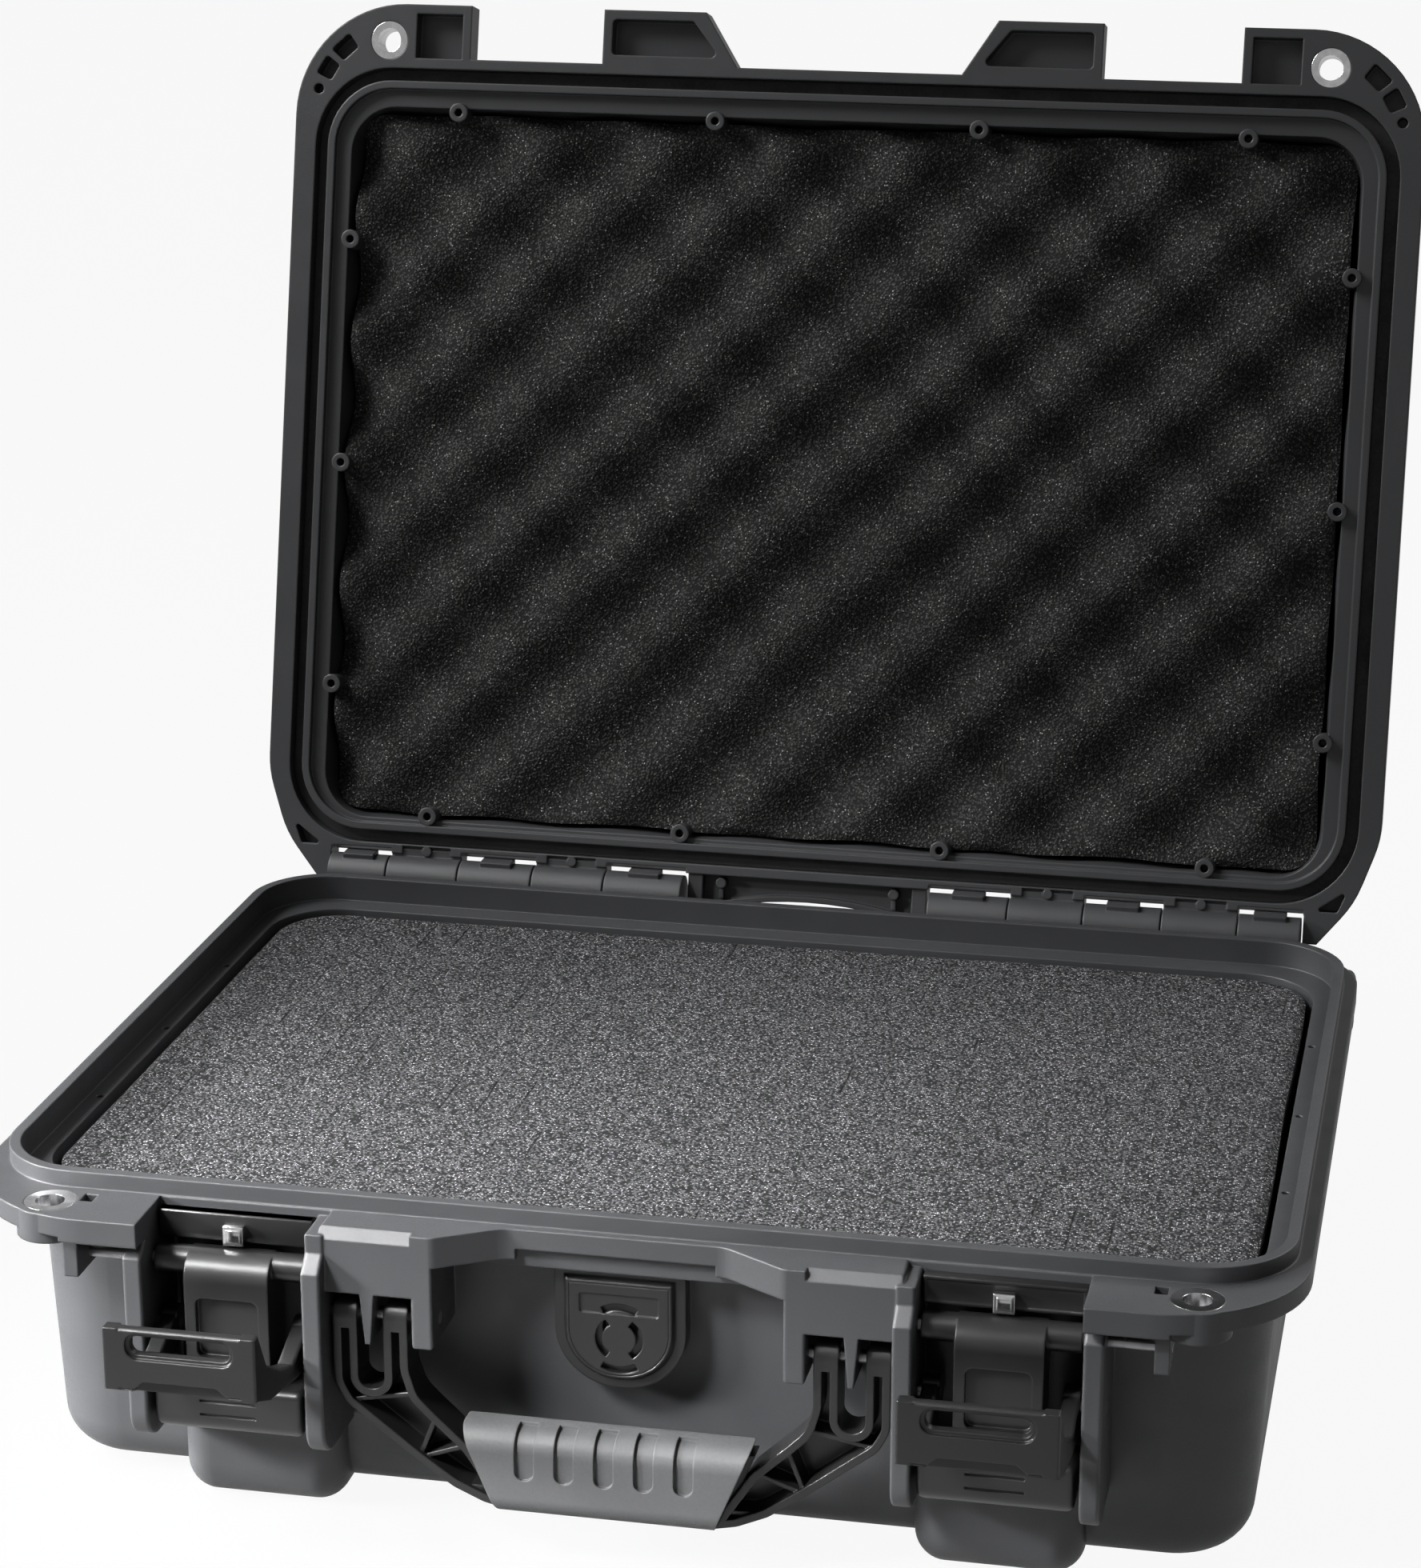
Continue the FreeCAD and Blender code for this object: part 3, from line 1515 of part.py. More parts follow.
def valve_slot(radius, spread, angle):
    """One of the four arc slots in the plate."""
    outer = radius + valve_slot_width / 2
    inner = radius - valve_slot_width / 2
    y0 = valve_seat_y - valve_body_depth - overrun
    depth = valve_plate_depth + overrun * 2
    ring_z = valve_z - valve_ring_drop
    base = Vector(0, y0, ring_z)
    ring = Part.makeCylinder(outer, depth, base, Y_AXIS, spread)
    ring = ring.cut(Part.makeCylinder(inner, depth, base, Y_AXIS, spread))
    ring.rotate(Vector(0, 0, ring_z), Y_AXIS, angle - spread / 2)
    return ring


def valve_plate():
    """The front plate: a bare recessed panel above a ring of four slots."""
    face, radii = valve_outline(valve_margin + fit_clearance)
    front = valve_seat_y - valve_body_depth
    plate = prism_y(face, front, front + valve_plate_depth, radii)
    label_low = valve_z - valve_ring_drop + valve_label_rise
    label_top = label_low + valve_label_height
    label_outline = [
        (-valve_label_half, label_low),
        (valve_label_half, label_low),
        (valve_label_half, label_top),
        (-valve_label_half, label_top),
    ]
    label_back = front + valve_label_depth
    label = prism_y(label_outline, front - overrun, label_back, same(valve_label_radius, label_outline))
    slots = [valve_slot(valve_side_slot_radius, valve_side_slot_turn, turn) for turn in (0, 180)]
    slots += [valve_slot(valve_end_slot_radius, valve_end_slot_turn, turn) for turn in (90, 270)]
    return plate.cut(Part.Compound([label] + slots))


def valve_nut():
    """The ring nut on the stem inside the case."""
    y0 = valve_inner_y
    ring = rod_y(0, valve_z, y0, y0 + valve_nut_depth, valve_nut_radius)
    bore_radius = valve_stem_radius + fit_clearance
    return ring.cut(rod_y(0, valve_z, y0 - overrun, y0 + valve_nut_depth + overrun, bore_radius))


# Foam

def base_foam_loop(z):
    """The base's inner loop at one height, less the foam's clearance."""
    share = (parting_z - z) / (parting_z - floor_z)
    inset = foam_clearance + body_draft * share
    return grown(cavity_loop, -inset)


def base_foam_pad():
    """Thin pad on the floor of the base."""
    z0 = floor_z
    z1 = z0 + foam_pad_height
    return tub(base_foam_loop(z0), z0, base_foam_loop(z1), z1)


def base_foam_block():
    """The cubed block above the pad, notched round the valve's nut."""
    z0 = floor_z + foam_pad_height
    z1 = parting_z - foam_top_drop
    block = tub(base_foam_loop(z0), z0, base_foam_loop(z1), z1)
    block = block.makeFillet(foam_edge_fillet, edges_at(block, z1))
    nut_room = box(
        -valve_foam_half,
        valve_foam_half,
        cavity_loop.front,
        valve_inner_y + valve_nut_depth + valve_foam_depth,
        valve_z - valve_foam_half,
        valve_z + valve_foam_half,
    )
    return block.cut(nut_room)


def crate_depth(x, y):
    """How far the egg-crate face stands below the roof side: two crossed waves, one of them taller."""
    phase_ridge = math.pi * (x + y) / crate_pitch
    phase_cross = math.pi * (x - y) / crate_pitch
    share = crate_ridge_share * math.cos(phase_ridge) + (1 - crate_ridge_share) * math.cos(phase_cross)
    middle = (lid_foam_valley + lid_foam_peak) / 2
    swing = (lid_foam_valley - lid_foam_peak) / 2
    return parting_z + middle - swing * share


def lid_foam():
    """The lid's pad, shut: flat against the roof, egg-crate waves below."""
    roof = parting_z + lid_height - panel_rise - lid_roof
    inset = grown(lid_cavity_loop, -foam_clearance - lid_draft)
    block = loop_prism(inset, parting_z, roof)
    step = crate_pitch / crate_samples
    across = math.ceil((inset.half + step) / step)
    middle_y = (inset.front + inset.back) / 2
    along = math.ceil(((inset.back - inset.front) / 2 + step) / step)
    rows = []
    for i in range(-across, across + 1):
        x = i * step
        row = []
        for j in range(-along, along + 1):
            y = middle_y + j * step
            row.append(Vector(x, y, crate_depth(x, y - middle_y)))
        rows.append(row)
    waves = Part.BSplineSurface()
    waves.interpolate(rows)
    under = waves.toShape().extrude(Vector(0, 0, -lid_height))
    columns = boss_columns(
        lid_cavity_loop,
        boss_radius - boss_overlap,
        parting_z - overrun,
        roof + overrun,
        boss_radius + foam_clearance / 2,
    )
    return block.cut(under).cut(Part.Compound(columns))


def save_sides(name, right):
    """Writes a right-hand piece and its left-hand copy as two nodes."""
    save(name + "_right", right)
    save(name + "_left", mirrored(right))


def main():
    """Builds and writes every node."""
    os.makedirs("parts", exist_ok=True)
    save("base_shell", base_shell())
    save("lid_shell", turned_open(lid_shell()))
    save("lid_gasket", turned_open(lid_gasket()))
    save("lid_foam", turned_open(lid_foam()))
    save("base_foam_pad", base_foam_pad())
    save("base_foam_block", base_foam_block())
    save("handle_frame", handle_frame())
    save("handle_grip", handle_grip())
    save("valve_body", valve_body())
    save("valve_seal", valve_seal())
    save("valve_membrane", valve_membrane())
    save("valve_plate", valve_plate())
    save("valve_nut", valve_nut())
    save_sides("hinge_pin", hinge_pin())
    save_sides("base_eyelet", base_eyelet())
    save_sides("lid_eyelet", turned_open(lid_eyelet()))
    save_sides("strap_bracket", strap_bracket())
    save_sides("strap_pin", strap_pin())
    save_sides("handle_pin", handle_pin())
    save_sides("latch_lever", latch_lever())
    save_sides("latch_claw", latch_claw())
    save_sides("latch_lever_pin", lever_pin())
    save_sides("latch_claw_pins", claw_pins())


if __name__ == "__main__":
    main()
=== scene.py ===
import json
import math

import bpy
from bpy.props import FloatProperty, FloatVectorProperty, IntProperty, PointerProperty
from mathutils import Matrix, Vector, noise


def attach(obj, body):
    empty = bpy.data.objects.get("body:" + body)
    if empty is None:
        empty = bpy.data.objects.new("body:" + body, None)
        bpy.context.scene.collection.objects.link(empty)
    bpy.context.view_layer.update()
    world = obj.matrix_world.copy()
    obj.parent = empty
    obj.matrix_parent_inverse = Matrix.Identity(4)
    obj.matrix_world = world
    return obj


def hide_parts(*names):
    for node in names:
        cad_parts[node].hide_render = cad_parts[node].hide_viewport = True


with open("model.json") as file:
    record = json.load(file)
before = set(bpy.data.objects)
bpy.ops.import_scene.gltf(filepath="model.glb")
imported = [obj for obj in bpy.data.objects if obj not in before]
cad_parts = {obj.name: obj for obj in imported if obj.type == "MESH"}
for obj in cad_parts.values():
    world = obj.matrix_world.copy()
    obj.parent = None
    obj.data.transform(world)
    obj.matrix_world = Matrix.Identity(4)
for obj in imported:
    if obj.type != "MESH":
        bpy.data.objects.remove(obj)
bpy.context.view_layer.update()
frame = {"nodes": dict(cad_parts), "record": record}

bl_info = {
    "name": "Hard case dressing",
    "version": (1, 0, 0),
    "blender": (4, 5, 0),
    "location": "3D View > Sidebar > Case",
    "description": "Dresses the packed hard case with foam, latch details, finishes and a stage",
    "category": "Object",
}

MM = 0.001

# Hinge, open stop and parting line of the shells
HINGE = Vector((0.0, 161.0 * MM, 107.0 * MM))
OPEN_TURN = math.radians(103.9)
PARTING = 106.0 * MM

# Black bar over each lever, a dark block that paints the shade in the bay there, and the bright spring end
# on it
LATCH_X = 119.2 * MM
SKIRT_FRONT = -145.2 * MM
ROLL_TOP = 93.5 * MM
LATCH_GAP = 0.9 * MM
SHADE_BAR_HALF = 24.6 * MM
SHADE_BAR_DEPTH = 4.2 * MM
SHADE_BAR_HEIGHT = 9.0 * MM
SPRING_HALF = 3.2 * MM
SPRING_DEPTH = 2.8 * MM
SPRING_HEIGHT = 6.2 * MM
SPRING_BULGE = 0.2 * MM
SHADE_BAR_RECESS = 0.3 * MM
TRIM_EDGE = 0.5 * MM
TRIM_INSET_RATIO = 2.2
TRIM_SEGMENTS = 3
TRIM_CREASE = 40.0
FRONT_FACING = -0.5

# Egg-crate foam in the lid
LID_PAD = {
    "half": 189.0 * MM,
    "front": -129.6 * MM,
    "back": 137.6 * MM,
    "radius": 11.0 * MM,
    "ripple": 1.8 * MM,
    "length": 34.0 * MM,
}
LID_ROOF = 150.3 * MM
LID_DRAUGHT = 4.6 * MM
LID_ROLL = 2.5 * MM
BEND_SHARE = 0.5
BEND_SCALE = 14.0

# Cubed foam in the base
CUBES_PAD = {
    "half": 191.3 * MM,
    "front": -129.9 * MM,
    "back": 132.9 * MM,
    "radius": 23.0 * MM,
    "ripple": 1.4 * MM,
    "length": 55.0 * MM,
}
CUBES_LOW = 20.1 * MM
CUBES_TOP = 101.0 * MM
CUBES_DRAUGHT = 4.4 * MM
CUBES_ROLL = 3.0 * MM
CUBES_CELL_RATIO = 1.2
CUBES_SEED = 4
SAG = 0.6 * MM
SAG_SCALE = 16.0

# Foam pad under the cubes
UNDER_PAD = {
    "half": 186.0 * MM,
    "front": -125.0 * MM,
    "back": 128.0 * MM,
    "radius": 22.0 * MM,
    "ripple": 1.0 * MM,
    "length": 60.0 * MM,
}
UNDER_LOW = 8.1 * MM
UNDER_TOP = 19.9 * MM
UNDER_ROLL = 2.0 * MM
UNDER_CELL_RATIO = 3
UNDER_SEED = 9

# Uneven sides of every pad
RIGHT_SIDE, LEFT_SIDE, BACK_SIDE, FRONT_SIDE = 1, 2, 3, 4
SIDE_STEP = 3.7
SEED_STEP = 1.9
FOAM_CREASE = 50.0
TINY = 1e-9

# Lamps of the stage: setting, then place, target and size in metres, and spread in degrees
LAMPS = (
    ("key", (-1.15, -0.08, 1.30), (0.0, 0.0, 0.1), (0.9, 0.8), 180.0),
    ("fill", (-0.70, -0.75, 0.95), (-0.05, -0.16, 0.06), (0.35, 0.3), 20.0),
    ("side", (-1.20, -0.55, 0.40), (-0.21, -0.16, 0.00), (0.3, 0.3), 18.0),
    ("rim", (0.9, 0.9, 1.3), (0.0, 0.0, 0.15), (0.9, 0.6), 180.0),
)

# Floor and world of the stage
FLOOR_SIZE = 30.0
FLOOR_GLOW = 0.93
FLOOR_MIRROR = 0.45
WORLD_MIRROR = 0.30
WHITE = (1.0, 1.0, 1.0, 1.0)

# Camera that took the photograph: angles in degrees, focus and centre in pixels of the picture
PHOTO_WIDTH = 1776
PHOTO_HEIGHT = 1960
CAMERA_ANGLES = (10.83, 18.2, 0.39)
CAMERA_PLACE = Vector((251.8, -1183.6, 584.2)) * MM
CAMERA_FOCUS = 4814.01
CAMERA_CENTRE = (989.73, 1044.46)
CAMERA_SENSOR = 36.0
CAMERA_CLIP = 0.05


# Settings that a user would change

def colour_setting(name, description, default):
    """One colour of the case."""
    return FloatVectorProperty(
        name=name, description=description, default=default, subtype="COLOR", size=3, min=0.0, max=1.0
    )


def length_setting(name, description, default):
    """One length in metres."""
    return FloatProperty(
        name=name, description=description, default=default, unit="LENGTH", subtype="DISTANCE", min=0.0
    )


def power_setting(name, description, default):
    """The power of one lamp in watts."""
    return FloatProperty(name=name, description=description, default=default, min=0.0, unit="POWER")


class CaseColours(bpy.types.PropertyGroup):
    """Colours of the finishes."""

    shell: colour_setting("Shell", "Moulded shells", (0.036, 0.0372, 0.0398))
    black: colour_setting("Black parts", "Latches, handle and valve", (0.0080, 0.0080, 0.0082))
    grip: colour_setting("Grip", "Soft grip on the handle", (0.061, 0.062, 0.064))
    seal: colour_setting("Seal", "Rubber seals", (0.010, 0.010, 0.010))
    membrane: colour_setting("Membrane", "Membrane in the valve", (0.70, 0.70, 0.68))
    lid_foam: colour_setting("Lid foam", "Egg-crate foam", (0.060, 0.060, 0.0582))
    base_foam: colour_setting("Base foam", "Block of foam in the base", (0.080, 0.080, 0.0835))
    steel: colour_setting("Steel", "Pins", (0.30, 0.30, 0.31))
    bright: colour_setting("Bright metal", "Padlock inserts and spring ends", (0.90, 0.90, 0.91))


class CaseSizes(bpy.types.PropertyGroup):
    """Sizes of the foam."""

    crate_pitch: length_setting("Crate pitch", "Half a wave of the lid foam, along X", 0.0235)
    crate_peak: length_setting("Crate peak", "Depth of the wave tops below the lid's rim", 0.0030)
    crate_valley: length_setting("Crate valley", "Depth of the wave bottoms below the lid's rim", 0.0135)
    foam_cell: length_setting("Foam mesh", "Spacing of the foam's mesh", 0.0017)
    cut_pitch: length_setting("Cube pitch", "Spacing of the slits in the base foam", 0.0127)
    crate_ridge: FloatProperty(
        name="Ridge share",
        description="Share of the wave that runs up to the right",
        default=0.36,
        min=0.0,
        max=1.0,
    )
    seed: IntProperty(name="Seed", description="Seed of the foam's uneven sides and faces", default=7, min=0)


class CaseStage(bpy.types.PropertyGroup):
    """Floor, even light and lamps."""

    floor: colour_setting("Floor", "Colour of the floor", (0.20, 0.20, 0.20))
    ambient: FloatProperty(name="Ambient", description="Strength of the even light", default=0.07, min=0.0)
    key: power_setting("Key", "Power of the lamp above", 33.0)
    fill: power_setting("Fill", "Power of the lamp in front", 1.25)
    side: power_setting("Side", "Power of the lamp on the left", 1.9)
    rim: power_setting("Rim", "Power of the lamp behind", 12.0)


# Shader node groups

VALUE = "NodeSocketFloat"
COLOUR = "NodeSocketColor"
GREY = (0.5, 0.5, 0.5, 1.0)
MIX_FACTOR, MIX_FIRST, MIX_SECOND, MIX_RESULT = 0, 6, 7, 2


class Graph:
    """A node tree with short calls to add and link nodes."""

    def __init__(self, tree):
        self.tree = tree

    def add(self, kind, inputs=None, **settings):
        """Adds a node, sets its fields and fills its inputs with values or links."""
        node = self.tree.nodes.new(kind)
        for key, value in settings.items():
            setattr(node, key, value)
        for key, value in (inputs or {}).items():
            if isinstance(value, bpy.types.NodeSocket):
                self.tree.links.new(value, node.inputs[key])
            else:
                node.inputs[key].default_value = value
        return node

    def object_place(self):
        """The place of a point in its object's own coordinates."""
        return self.add("ShaderNodeTexCoord").outputs["Object"]

    def maths(self, operation, first, second=0.0):
        """One sum."""
        node = self.add("ShaderNodeMath", {0: first, 1: second}, operation=operation)
        return node.outputs[0]

    def between(self, value, low, high):
        """A value mapped from a span to 0 to 1, and kept inside it."""
        inputs = {"Value": value, "From Min": low, "From Max": high}
        return self.add("ShaderNodeMapRange", inputs).outputs["Result"]

    def spread(self, value, low, high):
        """A value from 0 to 1 spread over a span."""
        inputs = {"Value": value, "To Min": low, "To Max": high}
        return self.add("ShaderNodeMapRange", inputs).outputs["Result"]

    def blend(self, factor, first, second):
        """A mix of two colours."""
        inputs = {MIX_FACTOR: factor, MIX_FIRST: first, MIX_SECOND: second}
        return self.add("ShaderNodeMix", inputs, data_type="RGBA").outputs[MIX_RESULT]

    def clouds(self, place, scale):
        """Soft noise at a scale."""
        return self.add("ShaderNodeTexNoise", {"Vector": place, "Scale": scale}).outputs["Fac"]


def new_group(name, inputs, outputs):
    """An empty shader node group with named sockets."""
    tree = bpy.data.node_groups.new(name, "ShaderNodeTree")
    for label, kind, default in inputs:
        socket = tree.interface.new_socket(label, in_out="INPUT", socket_type=kind)
        socket.default_value = default
    for label, kind in outputs:
        tree.interface.new_socket(label, in_out="OUTPUT", socket_type=kind)
    graph = Graph(tree)
    entry = graph.add("NodeGroupInput")
    leave = graph.add("NodeGroupOutput")
    return graph, entry.outputs, leave.inputs


def moulded_grain_group():
    """Fine spark-eroded grain, slow colour drift and uneven gloss of moulded plastic."""
    inputs = [
        ("Colour", COLOUR, GREY),
        ("Drift", COLOUR, GREY),
        ("Grain", VALUE, 1400.0),
        ("Gloss", VALUE, 0.42),
        ("Dull", VALUE, 0.60),
    ]
    graph, given, out = new_group(
        "moulded_grain", inputs, [("Colour", COLOUR), ("Roughness", VALUE), ("Height", VALUE)]
    )
    place = graph.object_place()
    slow_scale, cloud_scale = 9.0, 75.0
    slow_share, fine_share = 0.65, 0.35
    tone_span, patch_span = (0.34, 0.66), (0.36, 0.64)
    fine = graph.clouds(place, given["Grain"])
    slow = graph.clouds(place, slow_scale)
    cloudy = graph.clouds(place, cloud_scale)
    slow_part = graph.maths("MULTIPLY", slow, slow_share)
    fine_part = graph.maths("MULTIPLY", fine, fine_share)
    tone = graph.between(graph.maths("ADD", slow_part, fine_part), *tone_span)
    link = graph.tree.links.new
    link(graph.blend(tone, given["Colour"], given["Drift"]), out["Colour"])
    mean = graph.maths("MULTIPLY", graph.maths("ADD", cloudy, fine), 0.5)
    patch = graph.between(mean, *patch_span)
    link(graph.spread(patch, given["Gloss"], given["Dull"]), out["Roughness"])
    link(fine, out["Height"])
    return graph.tree


def foam_cells_group():
    """Open-cell foam: dark pores painted as shade in the hollows between the cells, pale glints on the cell
    walls painted as highlights, and a rough height.
    """
    inputs = [
        ("Colour", COLOUR, GREY),
        ("Pore", COLOUR, GREY),
        ("Glint", COLOUR, GREY),
        ("Cells", VALUE, 900.0),
        ("Glint from", VALUE, 0.80),
    ]
    graph, given, out = new_group("foam_cells", inputs, [("Colour", COLOUR), ("Height", VALUE)])
    place = graph.object_place()
    tiny_ratio, cloud_scale, cloud_share = 1.7, 160.0, 0.4
    pore_shade_span, clump_span, near_span = (0.20, 0.62), (0.45, 1.10), (0.55, 0.25)
    cells = graph.add("ShaderNodeTexVoronoi", {"Vector": place, "Scale": given["Cells"]})
    tiny_scale = graph.maths("MULTIPLY", given["Cells"], tiny_ratio)
    tiny = graph.add("ShaderNodeTexVoronoi", {"Vector": place, "Scale": tiny_scale})
    cloud = graph.clouds(place, cloud_scale)
    # Painted shade: the colour darkens towards the rims of the cells, where the surface dips, as if shade
    # lay in the pores
    pore_shade = graph.between(cells.outputs["Distance"], *pore_shade_span)
    clouded = graph.maths("ADD", pore_shade, graph.maths("MULTIPLY", cloud, cloud_share))
    clumped = graph.between(clouded, *clump_span)
    walls = graph.blend(clumped, given["Colour"], given["Pore"])
    # Painted highlight: pale specks on a few cells stand in for light glinting off the cell walls
    chance = graph.add("ShaderNodeSeparateColor", {"Color": tiny.outputs["Color"]}).outputs[0]
    near = graph.between(tiny.outputs["Distance"], *near_span)
    lucky = graph.between(chance, given["Glint from"], 1.0)
    speck = graph.maths("MULTIPLY", lucky, near)
    link = graph.tree.links.new
    link(graph.blend(speck, walls, given["Glint"]), out["Colour"])
    height = graph.maths("SUBTRACT", graph.maths("ADD", cloud, speck), pore_shade)
    link(height, out["Height"])
    return graph.tree


def turned_metal_group():
    """Bright metal with fine tool marks and faint dull patches."""
    inputs = [
        ("Colour", COLOUR, GREY),
        ("Shade", COLOUR, GREY),
        ("Gloss", VALUE, 0.1),
        ("Dull", VALUE, 0.25),
    ]
    graph, given, out = new_group(
        "turned_metal", inputs, [("Colour", COLOUR), ("Roughness", VALUE), ("Height", VALUE)]
    )
    place = graph.object_place()
    mark_scale, patch_scale, patch_span = 2600.0, 260.0, (0.35, 0.65)
    marks = graph.clouds(place, mark_scale)
    patch = graph.clouds(place, patch_scale)
    link = graph.tree.links.new
    link(graph.blend(graph.between(patch, *patch_span), given["Colour"], given["Shade"]), out["Colour"])
    link(graph.spread(patch, given["Gloss"], given["Dull"]), out["Roughness"])
    link(marks, out["Height"])
    return graph.tree


def slit_lines_group():
    """Partly opened slits of the cubed foam: thin lines on a square grid, broken up by noise, as a mask for
    the dip of the real cuts and the painted shade inside them.
    """
    graph, given, out = new_group(
        "slit_lines", [("Pitch", VALUE, 0.0127), ("Width", VALUE, 0.03)], [("Mask", VALUE)]
    )
    place = graph.object_place()
    axes = graph.add("ShaderNodeSeparateXYZ", {"Vector": place}).outputs
    break_scale, open_span = 26.0, (0.57, 0.66)
    wobble_scale, wobble_size, across_share = 120.0, 0.0012, 0.25
    broken = graph.clouds(place, break_scale)
    open_here = graph.between(broken, *open_span)
    wavy = graph.clouds(place, wobble_scale)
    wobble = graph.maths("MULTIPLY", wavy, wobble_size)
    lines = []
    for axis in (0, 1):
        moved = graph.maths("ADD", axes[axis], wobble)
        phase = graph.maths("FRACT", graph.maths("DIVIDE", moved, given["Pitch"]))
        from_line = graph.maths("ABSOLUTE", graph.maths("SUBTRACT", phase, 0.5))
        lines.append(graph.between(from_line, given["Width"], 0.0))
    across = graph.maths("MULTIPLY", lines[1], across_share)
    both = graph.maths("MAXIMUM", lines[0], across)
    graph.tree.links.new(graph.maths("MULTIPLY", both, open_here), out["Mask"])
    return graph.tree


# Finishes

BEVEL_SAMPLES = 6
DRIFT_SHADE = 0.86
GRAIN_DEPTH = 0.00025
MARK_SHADE = 0.8
MARK_BUMP = 0.02
MARK_DEPTH = 0.0001
FOAM_SPECULAR = 0.15
FOAM_ROUGHNESS = 0.92
FOAM_BUMP = 0.55
FOAM_DEPTH = 0.0006
SLIT_WIDTH = 0.05
# How dark the painted shade inside the opened slits of the cubed foam is
SLIT_PAINTED_SHADE = 0.12
SLIT_DEPTH = 2.0


def shaded(colour, factor):
    """A colour made lighter or darker, with its alpha."""
    return tuple(min(1.0, part * factor) for part in colour) + (1.0,)


def new_finish(name, metallic=0.0, specular=0.5):
    """A material with only its shader and output."""
    material = bpy.data.materials.new(name)
    material.use_nodes = True
    graph = Graph(material.node_tree)
    shader = material.node_tree.nodes["Principled BSDF"]
    shader.inputs["Metallic"].default_value = metallic
    shader.inputs["Specular IOR Level"].default_value = specular
    return material, graph, shader


def placed(graph, group, values):
    """A group placed in a material with its own values."""
    node = graph.add("ShaderNodeGroup", node_tree=group)
    for key, value in values.items():
        node.inputs[key].default_value = value
    return node.outputs


def rounded_bump(graph, shader, height, strength, distance, edge):
    """Rounds hard edges in the shading, and lays the grain over them."""
    inputs = {"Height": height, "Strength": strength, "Distance": distance}
    if edge:
        bevel = graph.add("ShaderNodeBevel", {"Radius": edge}, samples=BEVEL_SAMPLES)
        inputs["Normal"] = bevel.outputs["Normal"]
    bump = graph.add("ShaderNodeBump", inputs)
    graph.tree.links.new(bump.outputs["Normal"], shader.inputs["Normal"])


def plastic(name, group, colour, grain, gloss, dull, bump, edge, specular=0.5):
    """A moulded plastic or rubber finish."""
    material, graph, shader = new_finish(name, specular=specular)
    values = {
        "Colour": shaded(colour, 1.0),
        "Drift": shaded(colour, DRIFT_SHADE),
        "Grain": grain,
        "Gloss": gloss,
        "Dull": dull,
    }
    outputs = placed(graph, group, values)
    graph.tree.links.new(outputs["Colour"], shader.inputs["Base Color"])
    graph.tree.links.new(outputs["Roughness"], shader.inputs["Roughness"])
    rounded_bump(graph, shader, outputs["Height"], bump, GRAIN_DEPTH, edge)
    return material


def metal(name, group, colour, gloss, dull, edge):
    """A turned metal finish."""
    material, graph, shader = new_finish(name, metallic=1.0)
    values = {
        "Colour": shaded(colour, 1.0),
        "Shade": shaded(colour, MARK_SHADE),
        "Gloss": gloss,
        "Dull": dull,
    }
    outputs = placed(graph, group, values)
    graph.tree.links.new(outputs["Colour"], shader.inputs["Base Color"])
    graph.tree.links.new(outputs["Roughness"], shader.inputs["Roughness"])
    rounded_bump(graph, shader, outputs["Height"], MARK_BUMP, MARK_DEPTH, edge)
    return material


def foam(name, group, colour, pore_shade, glint, cells, glint_from, slits=None, pitch=None):
    """An open-cell foam finish with painted shade in its pores, and, where it is cubed, slits that dip and
    are darkened with painted shade.
    """
    material, graph, shader = new_finish(name, specular=FOAM_SPECULAR)
    shader.inputs["Roughness"].default_value = FOAM_ROUGHNESS
    values = {
        "Colour": shaded(colour, 1.0),
        "Pore": shaded(colour, pore_shade),
        "Glint": shaded(colour, glint),
        "Cells": cells,
        "Glint from": glint_from,
    }
    outputs = placed(graph, group, values)
    surface = outputs["Colour"]
    height = outputs["Height"]
    if slits:
        mask = placed(graph, slits, {"Pitch": pitch, "Width": SLIT_WIDTH})["Mask"]
        # Painted shade: the slits are darkened as if shade fell into the opened cuts; the dip in the height
        # is the real cut
        surface = graph.blend(mask, surface, shaded(colour, SLIT_PAINTED_SHADE))
        height = graph.maths("SUBTRACT", height, graph.maths("MULTIPLY", mask, SLIT_DEPTH))
    graph.tree.links.new(surface, shader.inputs["Base Color"])
    rounded_bump(graph, shader, height, FOAM_BUMP, FOAM_DEPTH, 0.0)
    return material


